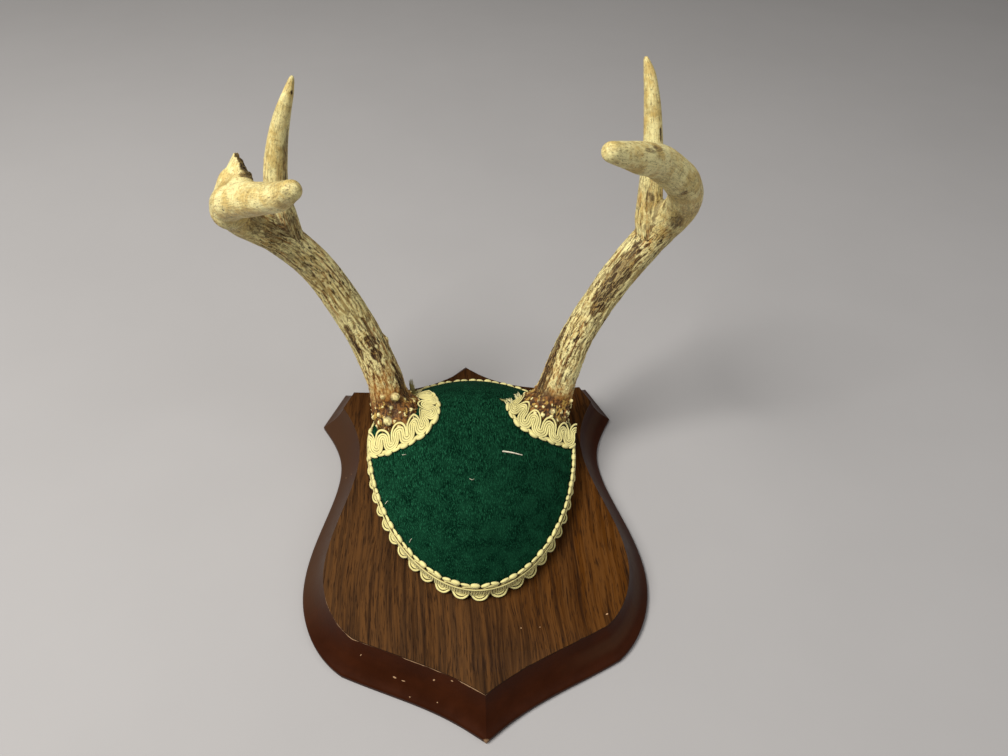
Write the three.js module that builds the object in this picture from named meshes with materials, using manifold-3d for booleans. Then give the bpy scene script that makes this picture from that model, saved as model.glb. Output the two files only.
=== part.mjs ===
// Antler plaque: a small pair of white-tailed deer antlers on their skull plate. The plate is
// covered with green felt, edged with gimp braid, and screwed to a shield-shaped board with a
// moulded edge. Millimetres, +Z up: the plaque lies on its back, with the origin at the centre of
// the board's back face, the lower tip of the shield towards -Y and the antlers rising along +Z.
import * as THREE from 'three';
import { mergeVertices } from 'three/addons/utils/BufferGeometryUtils.js';
import Module from 'manifold-3d';

const wasm = await Module();
wasm.setup();

// Board
const FACE_TIP_Y = -108; // lower tip of the face
const FACE_PEAK_Y = 106.5; // middle peak of the top edge
const EAR_TOP = [71.8, 86.5];
const EAR_TIP = [77.5, 73.2];
const WAIST = [65.4, 35];
const BULGE = [79.2, -40];
const LOWER_CORNER = [62, -77.5];
const BOARD_THICKNESS = 19;
const FACE_SHEET = 0.8; // wood-grain sheet on the board's front
const EDGE_WIDTH = 12.3; // how far the moulded edge stands out past the face
const EDGE_LIP = 3; // upright lip at the bottom of the moulded edge
const EDGE_HOLLOW = 1.4; // how deep the moulding is hollowed below a straight slope

// Felt-covered skull plate
const PLATE_LOW_Y = -58.5; // edge nearest the shield's lower tip
const PLATE_HIGH_Y = 82.5;
const PLATE_HALF_WIDTH = 57.8;
const PLATE_WIDE_Y = 40; // where the plate is widest
const WALL_TOP = 31; // top of the upright wall of the plate
const DOME_RISE = 21;
const DOME_POWER = 2.2;

// Gimp braid
const BRAID_THICKNESS = 2.2;
const BRAID_OUTER_RADIUS = 26.5; // of the braid round each antler
const GAP = 0.3;

// Antlers
const BURR_RADIUS = 14.6;
const BURR_LOW = -7;
const BURR_HIGH = 4.5;
const BEAM_SIDES = 14;
const TINE_SIDES = 10;
const RINGS_PER_SPAN = 3;

// Back of the board
const SCREW_SPOTS = [[0, -20], [0, 50]];
const SCREW_HEAD_RADIUS = 4;
const SCREW_HEAD_DEPTH = 3.4;
const SCREW_SHANK_RADIUS = 1.9;
const SCREW_LENGTH = 15;
const SLOT_WIDTH = 1.1;
const SLOT_DEPTH = 0.9;
const HANGER_Y = 86;
const HANGER_LENGTH = 44;
const HANGER_WIDTH = 9;
const HANGER_PLATE = 0.9;
const POCKET_DEPTH = 2.8; // routed pocket that the hanger lies in
const POCKET_MARGIN = 2.5;
const TOOTH_COUNT = 9;
const TOOTH_PITCH = 3;
const BRAD_SPACING = 38;

const COLOURS = {
  board_edge: { color: 0x3c2014, roughness: 0.38, metalness: 0 },
  board_face: { color: 0x5b371c, roughness: 0.45, metalness: 0 },
  felt: { color: 0x0b3f2b, roughness: 1, metalness: 0 },
  braid: { color: 0xe4d8a2, roughness: 0.85, metalness: 0 },
  antler: { color: 0xc3b072, roughness: 0.6, metalness: 0 },
  steel: { color: 0x9a988f, roughness: 0.35, metalness: 1 },
};

const group = new THREE.Group();

// ---- Solids, meshes and lofts -----------------------------------------------------------------

function addMesh(name, geometry, slot) {
  const mesh = new THREE.Mesh(geometry, new THREE.MeshStandardMaterial(COLOURS[slot]));
  mesh.name = name;
  group.add(mesh);
}

function solidFrom(geometry) {
  const bare = geometry.clone();
  bare.deleteAttribute('normal');
  bare.deleteAttribute('uv');
  const merged = mergeVertices(bare, 1e-4);
  return new wasm.Manifold(new wasm.Mesh({
    numProp: 3,
    vertProperties: merged.attributes.position.array,
    triVerts: new Uint32Array(merged.index.array),
  }));
}

function geometryFrom(solid) {
  const mesh = solid.getMesh();
  const geometry = new THREE.BufferGeometry();
  const positions = new Float32Array(mesh.vertProperties);
  geometry.setAttribute('position', new THREE.BufferAttribute(positions, 3));
  geometry.setIndex(new THREE.BufferAttribute(new Uint32Array(mesh.triVerts), 1));
  return geometry;
}

// The main piece of a cut solid, without the slivers that the cut left elsewhere.
function mainPiece(solid) {
  return solid.decompose().reduce((a, b) => (a.volume() > b.volume() ? a : b));
}

// Joins rings of equal length, each counterclockwise seen against the way they are stacked,
// and closes both ends with the given triangles.
function loft(rings, capTriangles) {
  const count = rings[0].length;
  const positions = rings.flat().flatMap((p) => [p.x, p.y, p.z]);
  const faces = [];
  for (let r = 0; r + 1 < rings.length; r += 1) {
    for (let i = 0; i < count; i += 1) {
      const a = r * count + i;
      const b = r * count + (i + 1) % count;
      faces.push(a, b, b + count, a, b + count, a + count);
    }
  }
  const last = (rings.length - 1) * count;
  for (const [i, j, k] of capTriangles) {
    faces.push(i, k, j);
    faces.push(last + i, last + j, last + k);
  }
  const geometry = new THREE.BufferGeometry();
  geometry.setAttribute('position', new THREE.Float32BufferAttribute(positions, 3));
  geometry.setIndex(faces);
  return geometry;
}

function fan(count) {
  return Array.from({ length: count - 2 }, (_, i) => [0, i + 1, i + 2]);
}

// ---- Outlines ---------------------------------------------------------------------------------

// A whole counterclockwise outline from its right half, which runs from the top to the bottom.
function mirrored(rightHalf) {
  const left = rightHalf.slice(1, -1).map((p) => new THREE.Vector2(-p.x, p.y));
  return [...rightHalf].reverse().concat(left);
}

// Each curve is [steps, end, control, control]; without controls it is a straight line.
function halfOutline(start, curves) {
  const points = [new THREE.Vector2(...start)];
  for (const [steps, end, first, second] of curves) {
    const from = points[points.length - 1];
    const to = new THREE.Vector2(...end);
    const curve = first
      ? new THREE.CubicBezierCurve(from, new THREE.Vector2(...first), new THREE.Vector2(...second), to)
      : new THREE.LineCurve(from, to);
    points.push(...curve.getPoints(steps).slice(1));
  }
  return points;
}

function faceOutline() {
  return mirrored(halfOutline([0, FACE_PEAK_Y], [
    [6, EAR_TOP, [14, 93], [34, 83.5]],
    [1, EAR_TIP],
    [7, WAIST, [70.5, 61.5], [WAIST[0], 49]],
    [9, BULGE, [WAIST[0], 10], [BULGE[0], -15]],
    [7, LOWER_CORNER, [BULGE[0], -56], [72, -70]],
    [7, [0, FACE_TIP_Y], [40, -88], [20, -94]],
  ]));
}

function plateOutline() {
  return mirrored(halfOutline([0, PLATE_HIGH_Y], [
    [8, [PLATE_HALF_WIDTH, PLATE_WIDE_Y], [28, PLATE_HIGH_Y], [56.5, 62]],
    [11, [0, PLATE_LOW_Y], [PLATE_HALF_WIDTH, -7], [32, PLATE_LOW_Y]],
  ]));
}

// Moves an outline outwards by a distance, with mitred corners.
function offset(outline, distance) {
  const count = outline.length;
  return outline.map((point, i) => {
    const before = outline[(i + count - 1) % count];
    const after = outline[(i + 1) % count];
    const first = point.clone().sub(before).normalize();
    const second = after.clone().sub(point).normalize();
    const normal = new THREE.Vector2(first.y + second.y, -first.x - second.x).normalize();
    const reach = distance / (normal.x * first.y - normal.y * first.x);
    return point.clone().addScaledVector(normal, reach);
  });
}

function ringAt(outline, z) {
  return outline.map((p) => new THREE.Vector3(p.x, p.y, z));
}

// ---- Board ------------------------------------------------------------------------------------

// Outward reach and height of the moulded edge, from the lip's top up to the face sheet.
function edgeProfile(steps) {
  const top = BOARD_THICKNESS - FACE_SHEET;
  const slope = new THREE.Vector2(-EDGE_WIDTH, top - EDGE_LIP);
  const inward = new THREE.Vector2(-slope.y, slope.x).normalize();
  return Array.from({ length: steps + 1 }, (_, i) => {
    const t = i / steps;
    const sink = 4 * EDGE_HOLLOW * t * (1 - t);
    const reach = EDGE_WIDTH + slope.x * t + inward.x * sink;
    return [reach, EDGE_LIP + slope.y * t + inward.y * sink];
  });
}

function screwCutter([x, y]) {
  const wide = SCREW_HEAD_RADIUS + GAP;
  const narrow = SCREW_SHANK_RADIUS + GAP;
  const profile = [[0, -1], [wide, -1], [wide, GAP], [narrow, SCREW_HEAD_DEPTH + GAP]];
  profile.push([narrow, SCREW_LENGTH + GAP], [0, SCREW_LENGTH + GAP]);
  return solidFrom(turned(profile, 20).translate(x, y, 0));
}

function bradCutter(x) {
  const radius = 0.7 + GAP;
  const profile = [[0, 1], [radius, 1], [radius, 11], [0, 11]];
  return solidFrom(turned(profile, 10).translate(x, HANGER_Y, 0));
}

// A turned piece about +Z from a profile of [radius, height] that starts and ends on the axis.
function turned(profile, segments) {
  const points = profile.map(([radius, height]) => new THREE.Vector2(radius, height));
  return new THREE.LatheGeometry(points, segments).rotateX(Math.PI / 2);
}

function boardCore() {
  const face = faceOutline();
  const outer = offset(face, EDGE_WIDTH);
  const rings = [ringAt(outer, 0)];
  for (const [reach, z] of edgeProfile(5)) rings.push(ringAt(offset(face, reach), z));
  const body = solidFrom(loft(rings, THREE.ShapeUtils.triangulateShape(outer, [])));
  const pocket = new THREE.BoxGeometry(
    HANGER_LENGTH + 2 * POCKET_MARGIN,
    HANGER_WIDTH + 2 * POCKET_MARGIN,
    2 * POCKET_DEPTH,
  ).translate(0, HANGER_Y, 0);
  let cut = body.subtract(solidFrom(pocket));
  for (const spot of SCREW_SPOTS) cut = cut.subtract(screwCutter(spot));
  for (const side of [-1, 1]) cut = cut.subtract(bradCutter(side * BRAD_SPACING / 2));
  return geometryFrom(cut);
}

function faceSheet() {
  const shape = new THREE.Shape(faceOutline());
  const sheet = new THREE.ExtrudeGeometry(shape, { depth: FACE_SHEET, bevelEnabled: false });
  return sheet.translate(0, 0, BOARD_THICKNESS - FACE_SHEET);
}

// ---- Skull plate and braid --------------------------------------------------------------------

// Rings of the plate, grown outwards and upwards by a margin.
function plateRings(margin, bottom) {
  const outline = offset(plateOutline(), margin);
  const rings = [ringAt(outline, bottom)];
  const centre = new THREE.Vector2(0, PLATE_WIDE_Y);
  for (const share of [1, 0.985, 0.94, 0.86, 0.74, 0.58, 0.4, 0.2, 0.05]) {
    const z = WALL_TOP + margin + DOME_RISE * (1 - share ** DOME_POWER);
    rings.push(ringAt(outline.map((p) => p.clone().sub(centre).multiplyScalar(share).add(centre)), z));
  }
  return rings;
}

function plateSolid(margin, bottom) {
  const rings = plateRings(margin, bottom);
  return solidFrom(loft(rings, fan(rings[0].length)));
}

function rimBraid() {
  const outer = offset(plateOutline(), GAP + BRAID_THICKNESS);
  const inner = offset(plateOutline(), GAP);
  const shape = new THREE.Shape(outer);
  shape.holes.push(new THREE.Path([...inner].reverse()));
  const height = WALL_TOP - BOARD_THICKNESS;
  const band = new THREE.ExtrudeGeometry(shape, { depth: height, bevelEnabled: false });
  return band.translate(0, 0, BOARD_THICKNESS);
}

// The room that the rim braid needs round the upright wall.
function rimSpace() {
  const outline = offset(plateOutline(), 2 * GAP + BRAID_THICKNESS);
  return solidFrom(loft([ringAt(outline, 0), ringAt(outline, WALL_TOP + GAP)], fan(outline.length)));
}

// A piece set with its own +Z along an antler's seat.
function seated(piece, seat) {
  const up = new THREE.Vector3(0, 0, 1);
  const turn = new THREE.Quaternion().setFromUnitVectors(up, seat.axis.clone().normalize());
  const placed = piece.applyQuaternion(turn);
  return solidFrom(placed.translate(seat.centre.x, seat.centre.y, seat.centre.z));
}

// The side of the burr where the braid is left open, between angles about the seat in degrees.
function openSide(seat) {
  const [start, end] = seat.open;
  const corners = [0, 1, 2, 3].map((i) => {
    const angle = THREE.MathUtils.degToRad(start + (end - start) * i / 3);
    return new THREE.Vector2(70 * Math.cos(angle), 70 * Math.sin(angle));
  });
  const shape = new THREE.Shape([new THREE.Vector2(0, 0), ...corners]);
  return new THREE.ExtrudeGeometry(shape, { depth: 90, bevelEnabled: false }).translate(0, 0, -45);
}

function antlerBraid(seat) {
  const reach = [[0, -40], [BRAID_OUTER_RADIUS, -40], [BRAID_OUTER_RADIUS, 40], [0, 40]];
  const bore = BURR_RADIUS + GAP;
  const hole = [[0, -45], [bore, -45], [bore, 45], [0, 45]];
  const skin = plateSolid(GAP + BRAID_THICKNESS, WALL_TOP + GAP).subtract(plateSolid(GAP, 0));
  const ring = skin.intersect(seated(turned(reach, 32), seat)).subtract(seated(turned(hole, 32), seat));
  return geometryFrom(ring.subtract(seated(openSide(seat), seat)));
}

// ---- Antlers ----------------------------------------------------------------------------------

// Each stem is a list of [x, y, z, radius] along its middle line, from its root outwards.
function stemRings(stem, sides, from = 0, to = stem.length - 1) {
  const curve = new THREE.CatmullRomCurve3(stem.map(([x, y, z]) => new THREE.Vector3(x, y, z)));
  const steps = Math.round((to - from) * RINGS_PER_SPAN);
  let side = new THREE.Vector3(0, 1, 0);
  const rings = [];
  for (let i = 0; i <= steps; i += 1) {
    const place = from + (to - from) * i / steps;
    const t = place / (stem.length - 1);
    const middle = curve.getPoint(t);
    const ahead = curve.getTangent(t);
    const low = Math.min(Math.floor(place), stem.length - 2);
    const radius = THREE.MathUtils.lerp(stem[low][3], stem[low + 1][3], place - low);
    side = side.clone().addScaledVector(ahead, -side.dot(ahead)).normalize();
    rings.push(circle(middle, side, ahead, radius, sides));
  }
  return { rings, end: curve.getPoint(to / (stem.length - 1)), ahead: curve.getTangent(1), side };
}

function circle(middle, side, ahead, radius, sides) {
  const across = new THREE.Vector3().crossVectors(ahead, side);
  return Array.from({ length: sides }, (_, i) => {
    const angle = 2 * Math.PI * i / sides;
    return middle.clone()
      .addScaledVector(side, radius * Math.cos(angle))
      .addScaledVector(across, radius * Math.sin(angle));
  });
}

function stemSolid(stem, sides, from, to) {
  return solidFrom(loft(stemRings(stem, sides, from, to).rings, fan(sides)));
}

// A stem whose far end is rounded off.
function pointedSolid(stem, sides, from = 0) {
  const { rings, end, ahead, side } = stemRings(stem, sides, from);
  const radius = stem[stem.length - 1][3];
  for (const angle of [30, 58, 80]) {
    const lift = THREE.MathUtils.degToRad(angle);
    const middle = end.clone().addScaledVector(ahead, radius * Math.sin(lift));
    rings.push(circle(middle, side, ahead, radius * Math.cos(lift), sides));
  }
  return solidFrom(loft(rings, fan(sides)));
}

// The same stem, thicker by a margin.
function grown(stem, margin) {
  return stem.map(([x, y, z, radius]) => [x, y, z, radius + margin]);
}

function burrSolid(seat, margin) {
  const wide = BURR_RADIUS + margin;
  const profile = [[0, BURR_LOW - margin], [wide - 1.5, BURR_LOW - margin], [wide, -1.5], [wide - 0.6, 1.5]];
  profile.push([wide - 2.6, BURR_HIGH + margin], [0, BURR_HIGH + margin]);
  return seated(turned(profile, 24), seat);
}

// A slab that removes everything on the far side of a plane.
function beyond(point, normal) {
  const size = 80;
  const turn = new THREE.Quaternion().setFromUnitVectors(new THREE.Vector3(0, 0, 1), normal.clone().normalize());
  const slab = new THREE.BoxGeometry(size, size, size).translate(0, 0, size / 2).applyQuaternion(turn);
  return solidFrom(slab.translate(point.x, point.y, point.z));
}

const RIGHT = {
  side: 'right',
  seat: {
    centre: new THREE.Vector3(46.5, 48.5, 39.5),
    axis: new THREE.Vector3(0.48, 0.12, 0.87),
    open: [0, 142],
  },
  beam: [
    [45.5, 48, 38, 11.4],
    [51.5, 56.5, 60, 10.4],
    [59.5, 64, 82, 9.3],
    [71.5, 71, 104, 9],
    [84.5, 75, 125.5, 9.2],
    [97.5, 76.5, 145.5, 9.4],
    [102.5, 65.5, 166, 8.5],
    [96, 50.5, 187, 8.3],
    [79, 37, 205.5, 7.7],
    [62.5, 19, 218.5, 6.3],
    [48.5, 6.5, 227.5, 4.1],
  ],
  fork: 5,
  tine: [
    [92, 77, 146, 8],
    [90, 81, 172, 6],
    [88, 84.5, 192, 4.9],
    [85, 88.5, 210, 4],
    [82.5, 91.5, 221, 3],
    [80, 93, 227.5, 1.5],
  ],
};

const LEFT = {
  side: 'left',
  seat: {
    centre: new THREE.Vector3(-46.5, 50, 39),
    axis: new THREE.Vector3(-0.48, 0.12, 0.87),
    open: [60, 180],
  },
  beam: [
    [-45, 50, 37, 11.4],
    [-49.5, 60, 58, 10.4],
    [-57, 68.5, 76.5, 9.9],
    [-68, 77, 97, 9.6],
    [-82, 85.5, 117, 9.4],
    [-97, 86, 135, 9.4],
    [-111, 74, 154.5, 8.6],
    [-111.5, 56, 174, 8.2],
    [-94.5, 34.5, 190.5, 7.3],
    [-79.5, 16.5, 202.5, 6],
    [-71.5, 6.5, 211.5, 4.3],
  ],
  fork: 5,
  tine: [
    [-94.5, 87, 136, 8],
    [-97, 91.5, 160, 6.4],
    [-94, 95, 180.5, 5.4],
    [-89, 96.5, 197, 4.1],
    [-84.5, 98, 208, 2.7],
    [-82, 99, 214.5, 1.4],
  ],
  stub: [
    [-111.5, 57, 171, 9],
    [-107.8, 62.5, 181.5, 7.6],
    [-101.6, 68, 193, 4.8],
    [-98.9, 71.5, 199, 3.6],
  ],
  stubBreak: { point: new THREE.Vector3(-102.4, 64.5, 187), normal: new THREE.Vector3(0.88, 0.25, 0.4) },
  nub: [
    [-56, 70, 78, 5.5],
    [-50.5, 69.5, 79, 4],
    [-47, 69, 79.6, 1.7],
  ],
};

function addAntler(antler) {
  const name = `antler_${antler.side}_`;
  const { beam, fork, tine, stub, stubBreak, nub, seat } = antler;
  const burr = burrSolid(seat, 0).subtract(plateSolid(GAP, 0)).subtract(rimSpace());
  addMesh(`${name}burr`, geometryFrom(burr), 'antler');

  const gapInSpans = GAP / 24;
  let lower = stemSolid(beam, BEAM_SIDES, 0, fork);
  if (nub) lower = lower.add(pointedSolid(nub, TINE_SIDES));
  lower = lower.subtract(burrSolid(seat, GAP)).subtract(plateSolid(GAP, 0));
  addMesh(`${name}beam`, geometryFrom(lower), 'antler');

  const beamSpace = stemSolid(grown(beam, GAP), BEAM_SIDES, 0, beam.length - 1);
  const upright = pointedSolid(tine, TINE_SIDES).subtract(beamSpace);
  addMesh(`${name}tine`, geometryFrom(mainPiece(upright)), 'antler');

  const upper = pointedSolid(beam, BEAM_SIDES, fork + gapInSpans);
  addMesh(`${name}tip`, geometryFrom(upper), 'antler');

  if (stub) {
    const broken = stemSolid(stub, BEAM_SIDES, 0, stub.length - 1);
    const cut = broken.subtract(beyond(stubBreak.point, stubBreak.normal)).subtract(beamSpace);
    addMesh(`${name}stub`, geometryFrom(mainPiece(cut)), 'antler');
  }
  addMesh(`braid_${antler.side}`, antlerBraid(seat), 'braid');
}

// ---- Back fittings ----------------------------------------------------------------------------

function screw([x, y]) {
  const narrow = SCREW_SHANK_RADIUS;
  const profile = [[0, 0], [SCREW_HEAD_RADIUS, 0], [SCREW_HEAD_RADIUS, GAP], [narrow, SCREW_HEAD_DEPTH]];
  profile.push([narrow, SCREW_LENGTH - 2], [0, SCREW_LENGTH]);
  const slot = new THREE.BoxGeometry(3 * SCREW_HEAD_RADIUS, SLOT_WIDTH, 2 * SLOT_DEPTH);
  const body = solidFrom(turned(profile, 20)).subtract(solidFrom(slot));
  return geometryFrom(body).translate(x, y, 0);
}

// A strip bent down at both ends to feet on the pocket's floor, with teeth cut along its lower edge.
function sawtoothHanger() {
  const half = HANGER_LENGTH / 2;
  const foot = 7;
  const low = 0.5;
  const floor = POCKET_DEPTH;
  const shape = new THREE.Shape();
  const outline = [
    [-half, floor - HANGER_PLATE], [-half + foot, floor - HANGER_PLATE], [-half + foot + 1.5, low],
    [half - foot - 1.5, low], [half - foot, floor - HANGER_PLATE], [half, floor - HANGER_PLATE],
    [half, floor], [half - foot + 0.5, floor], [half - foot - 1, low + HANGER_PLATE],
    [-half + foot + 1, low + HANGER_PLATE], [-half + foot - 0.5, floor], [-half, floor],
  ];
  shape.setFromPoints(outline.map(([x, z]) => new THREE.Vector2(x, z)));
  const strip = new THREE.ExtrudeGeometry(shape, { depth: HANGER_WIDTH, bevelEnabled: false });
  let plate = solidFrom(strip.rotateX(Math.PI / 2).translate(0, HANGER_Y + HANGER_WIDTH / 2, 0));
  for (let i = 0; i < TOOTH_COUNT; i += 1) plate = plate.subtract(toothCutter(i));
  for (const side of [-1, 1]) plate = plate.subtract(bradHole(side * BRAD_SPACING / 2));
  return geometryFrom(plate);
}

function toothCutter(i) {
  const x = (i - (TOOTH_COUNT - 1) / 2) * TOOTH_PITCH;
  const radius = 0.5 * TOOTH_PITCH;
  const wedge = new THREE.CylinderGeometry(radius, radius, 6, 3).rotateX(-Math.PI / 2);
  return solidFrom(wedge.translate(x, HANGER_Y - HANGER_WIDTH / 2, 1));
}

function bradHole(x) {
  const profile = [[0, -1], [0.7 + GAP, -1], [0.7 + GAP, 6], [0, 6]];
  return solidFrom(turned(profile, 10).translate(x, HANGER_Y, 0));
}

function brad(x) {
  const head = POCKET_DEPTH - HANGER_PLATE - GAP;
  const profile = [[0, head - 0.8], [1.6, head - 0.6], [1.6, head], [0.7, head], [0.7, 9.5], [0, 10.5]];
  return turned(profile, 10).translate(x, HANGER_Y, 0);
}

function addBackFittings() {
  SCREW_SPOTS.forEach((spot, i) => addMesh(`back_screw_${i + 1}`, screw(spot), 'steel'));
  addMesh('hanger_plate', sawtoothHanger(), 'steel');
  addMesh('hanger_brad_left', brad(-BRAD_SPACING / 2), 'steel');
  addMesh('hanger_brad_right', brad(BRAD_SPACING / 2), 'steel');
}

addMesh('board_core', boardCore(), 'board_edge');
addMesh('board_face', faceSheet(), 'board_face');
addMesh('skull_plate', geometryFrom(plateSolid(0, BOARD_THICKNESS)), 'felt');
addMesh('braid_rim', rimBraid(), 'braid');
addAntler(LEFT);
addAntler(RIGHT);
addBackFittings();

export default group;
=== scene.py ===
"""Antler plaque: a small pair of deer antlers on a felt-covered skull plate, screwed to a shield board.

The packed frame gives the sizes and places. Each operator below makes one piece, or one group of
like pieces, round it. Sizes in the tables are millimetres, and every mesh is in metres. +Z is up,
the plaque lies on its back, and the shield's lower tip points to -Y.
"""

import itertools
import math

import bpy
import numpy as np
from mathutils import Matrix, Vector


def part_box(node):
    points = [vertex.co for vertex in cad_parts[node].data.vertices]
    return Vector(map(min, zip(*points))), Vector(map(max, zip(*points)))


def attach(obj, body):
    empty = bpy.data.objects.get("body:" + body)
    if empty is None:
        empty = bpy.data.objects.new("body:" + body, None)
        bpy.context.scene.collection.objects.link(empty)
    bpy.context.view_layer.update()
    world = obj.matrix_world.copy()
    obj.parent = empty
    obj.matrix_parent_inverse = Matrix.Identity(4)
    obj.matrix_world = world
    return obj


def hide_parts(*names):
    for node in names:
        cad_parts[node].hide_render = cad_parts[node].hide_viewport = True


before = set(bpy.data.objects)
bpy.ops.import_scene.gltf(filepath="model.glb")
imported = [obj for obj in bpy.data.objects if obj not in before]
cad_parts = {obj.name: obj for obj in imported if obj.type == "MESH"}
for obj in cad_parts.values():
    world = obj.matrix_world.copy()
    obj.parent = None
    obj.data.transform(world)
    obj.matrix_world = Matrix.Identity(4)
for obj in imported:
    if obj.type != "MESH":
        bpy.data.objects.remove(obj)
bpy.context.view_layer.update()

bl_info = {
    "name": "Antler Plaque",
    "version": (1, 0, 0),
    "blender": (4, 5, 0),
    "location": "View3D > Sidebar > Antler Plaque",
    "description": "Builds the finished pieces of an antler plaque round its packed frame",
    "category": "Object",
}

MM = 0.001
BODY = "root"

# ---- Sizes of the pieces, in millimetres -------------------------------------------------------

BOARD_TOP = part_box("board_face")[1].z / MM
FACE_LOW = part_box("board_face")[0].z / MM
WALL_TOP = 31.0  # top of the upright wall of the felt-covered plate
DOME_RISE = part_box("skull_plate")[1].z / MM - WALL_TOP
DOME_POWER = 2.2
DOME_CENTRE = (0.0, 40.0)

# Right half of an outline, from its top to its bottom: a start, then [end, control, control].
FACE_START = (0, 106.5)
FACE_CURVES = [
    [(71.8, 86.5), (14, 93), (34, 83.5)],
    [(77.5, 73.2)],
    [(65.4, 35), (70.5, 61.5), (65.4, 49)],
    [(79.2, -40), (65.4, 10), (79.2, -15)],
    [(62, -77.5), (79.2, -56), (72, -70)],
    [(0, -108), (40, -88), (20, -94)],
]
PLATE_START = (0, 82.5)
PLATE_CURVES = [
    [(57.8, 40), (28, 82.5), (56.5, 62)],
    [(0, -58.5), (57.8, -7), (32, -58.5)],
]

EDGE_HOLLOW = 1.4
EDGE_LIP = 3.0
EDGE_ROUND = 0.5
EDGE_STEPS = 22

SCREW_SPOTS = [(0, -20), (0, 50)]
SCREW_HEAD = 4.3
SCREW_SHANK = 2.2
SCREW_HEAD_DEPTH = 3.7
SCREW_DEPTH = 15.3
HANGER_Y = 86
POCKET = (49, 14, 2.8)
BRAD_SPACING = 38
BRAD_HOLE = 1.0
HOLE_SIDES = 32

BRAID_GAP = 0.35
# The braid beside each antler: [x, y, z] of its beads, then of its scallops, from end to end.
BRAID_LINES = {
    "right": [
        [19.2, 43.6, 50.3, 30.8, 53.3, 46.7], [21.2, 34.6, 49.9, 31.9, 46.6, 48.2],
        [26.3, 27.1, 48.2, 34, 41.8, 47.9], [33.7, 23.1, 45.3, 39.1, 37.2, 47.9],
        [44.2, 22.2, 39.8, 47.2, 34.8, 44.9], [53.4, 23.6, 33.9, 55.6, 37.3, 38.4],
        [58.8, 25.9, 31.4, 60.7, 38.8, 35.9],
    ],
    "left": [
        [-57.5, 23.2, 31.4, -58.1, 36.9, 35.7], [-52.4, 20.9, 34.4, -54.8, 36.4, 37.4],
        [-45.8, 19.3, 38.6, -48, 34.5, 41.4], [-37.3, 20.1, 43.3, -39.5, 36.7, 44.5],
        [-30.1, 21.7, 46.5, -32.3, 39.8, 46.5], [-23.4, 27.3, 49.1, -29.5, 42.8, 47.5],
        [-18.3, 37.2, 50.7, -29.8, 45, 47], [-18.7, 48.6, 49.7, -30, 54.5, 44.5],
        [-24.3, 62.5, 42.9, -33, 62.5, 39.5],
    ],
}

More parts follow.
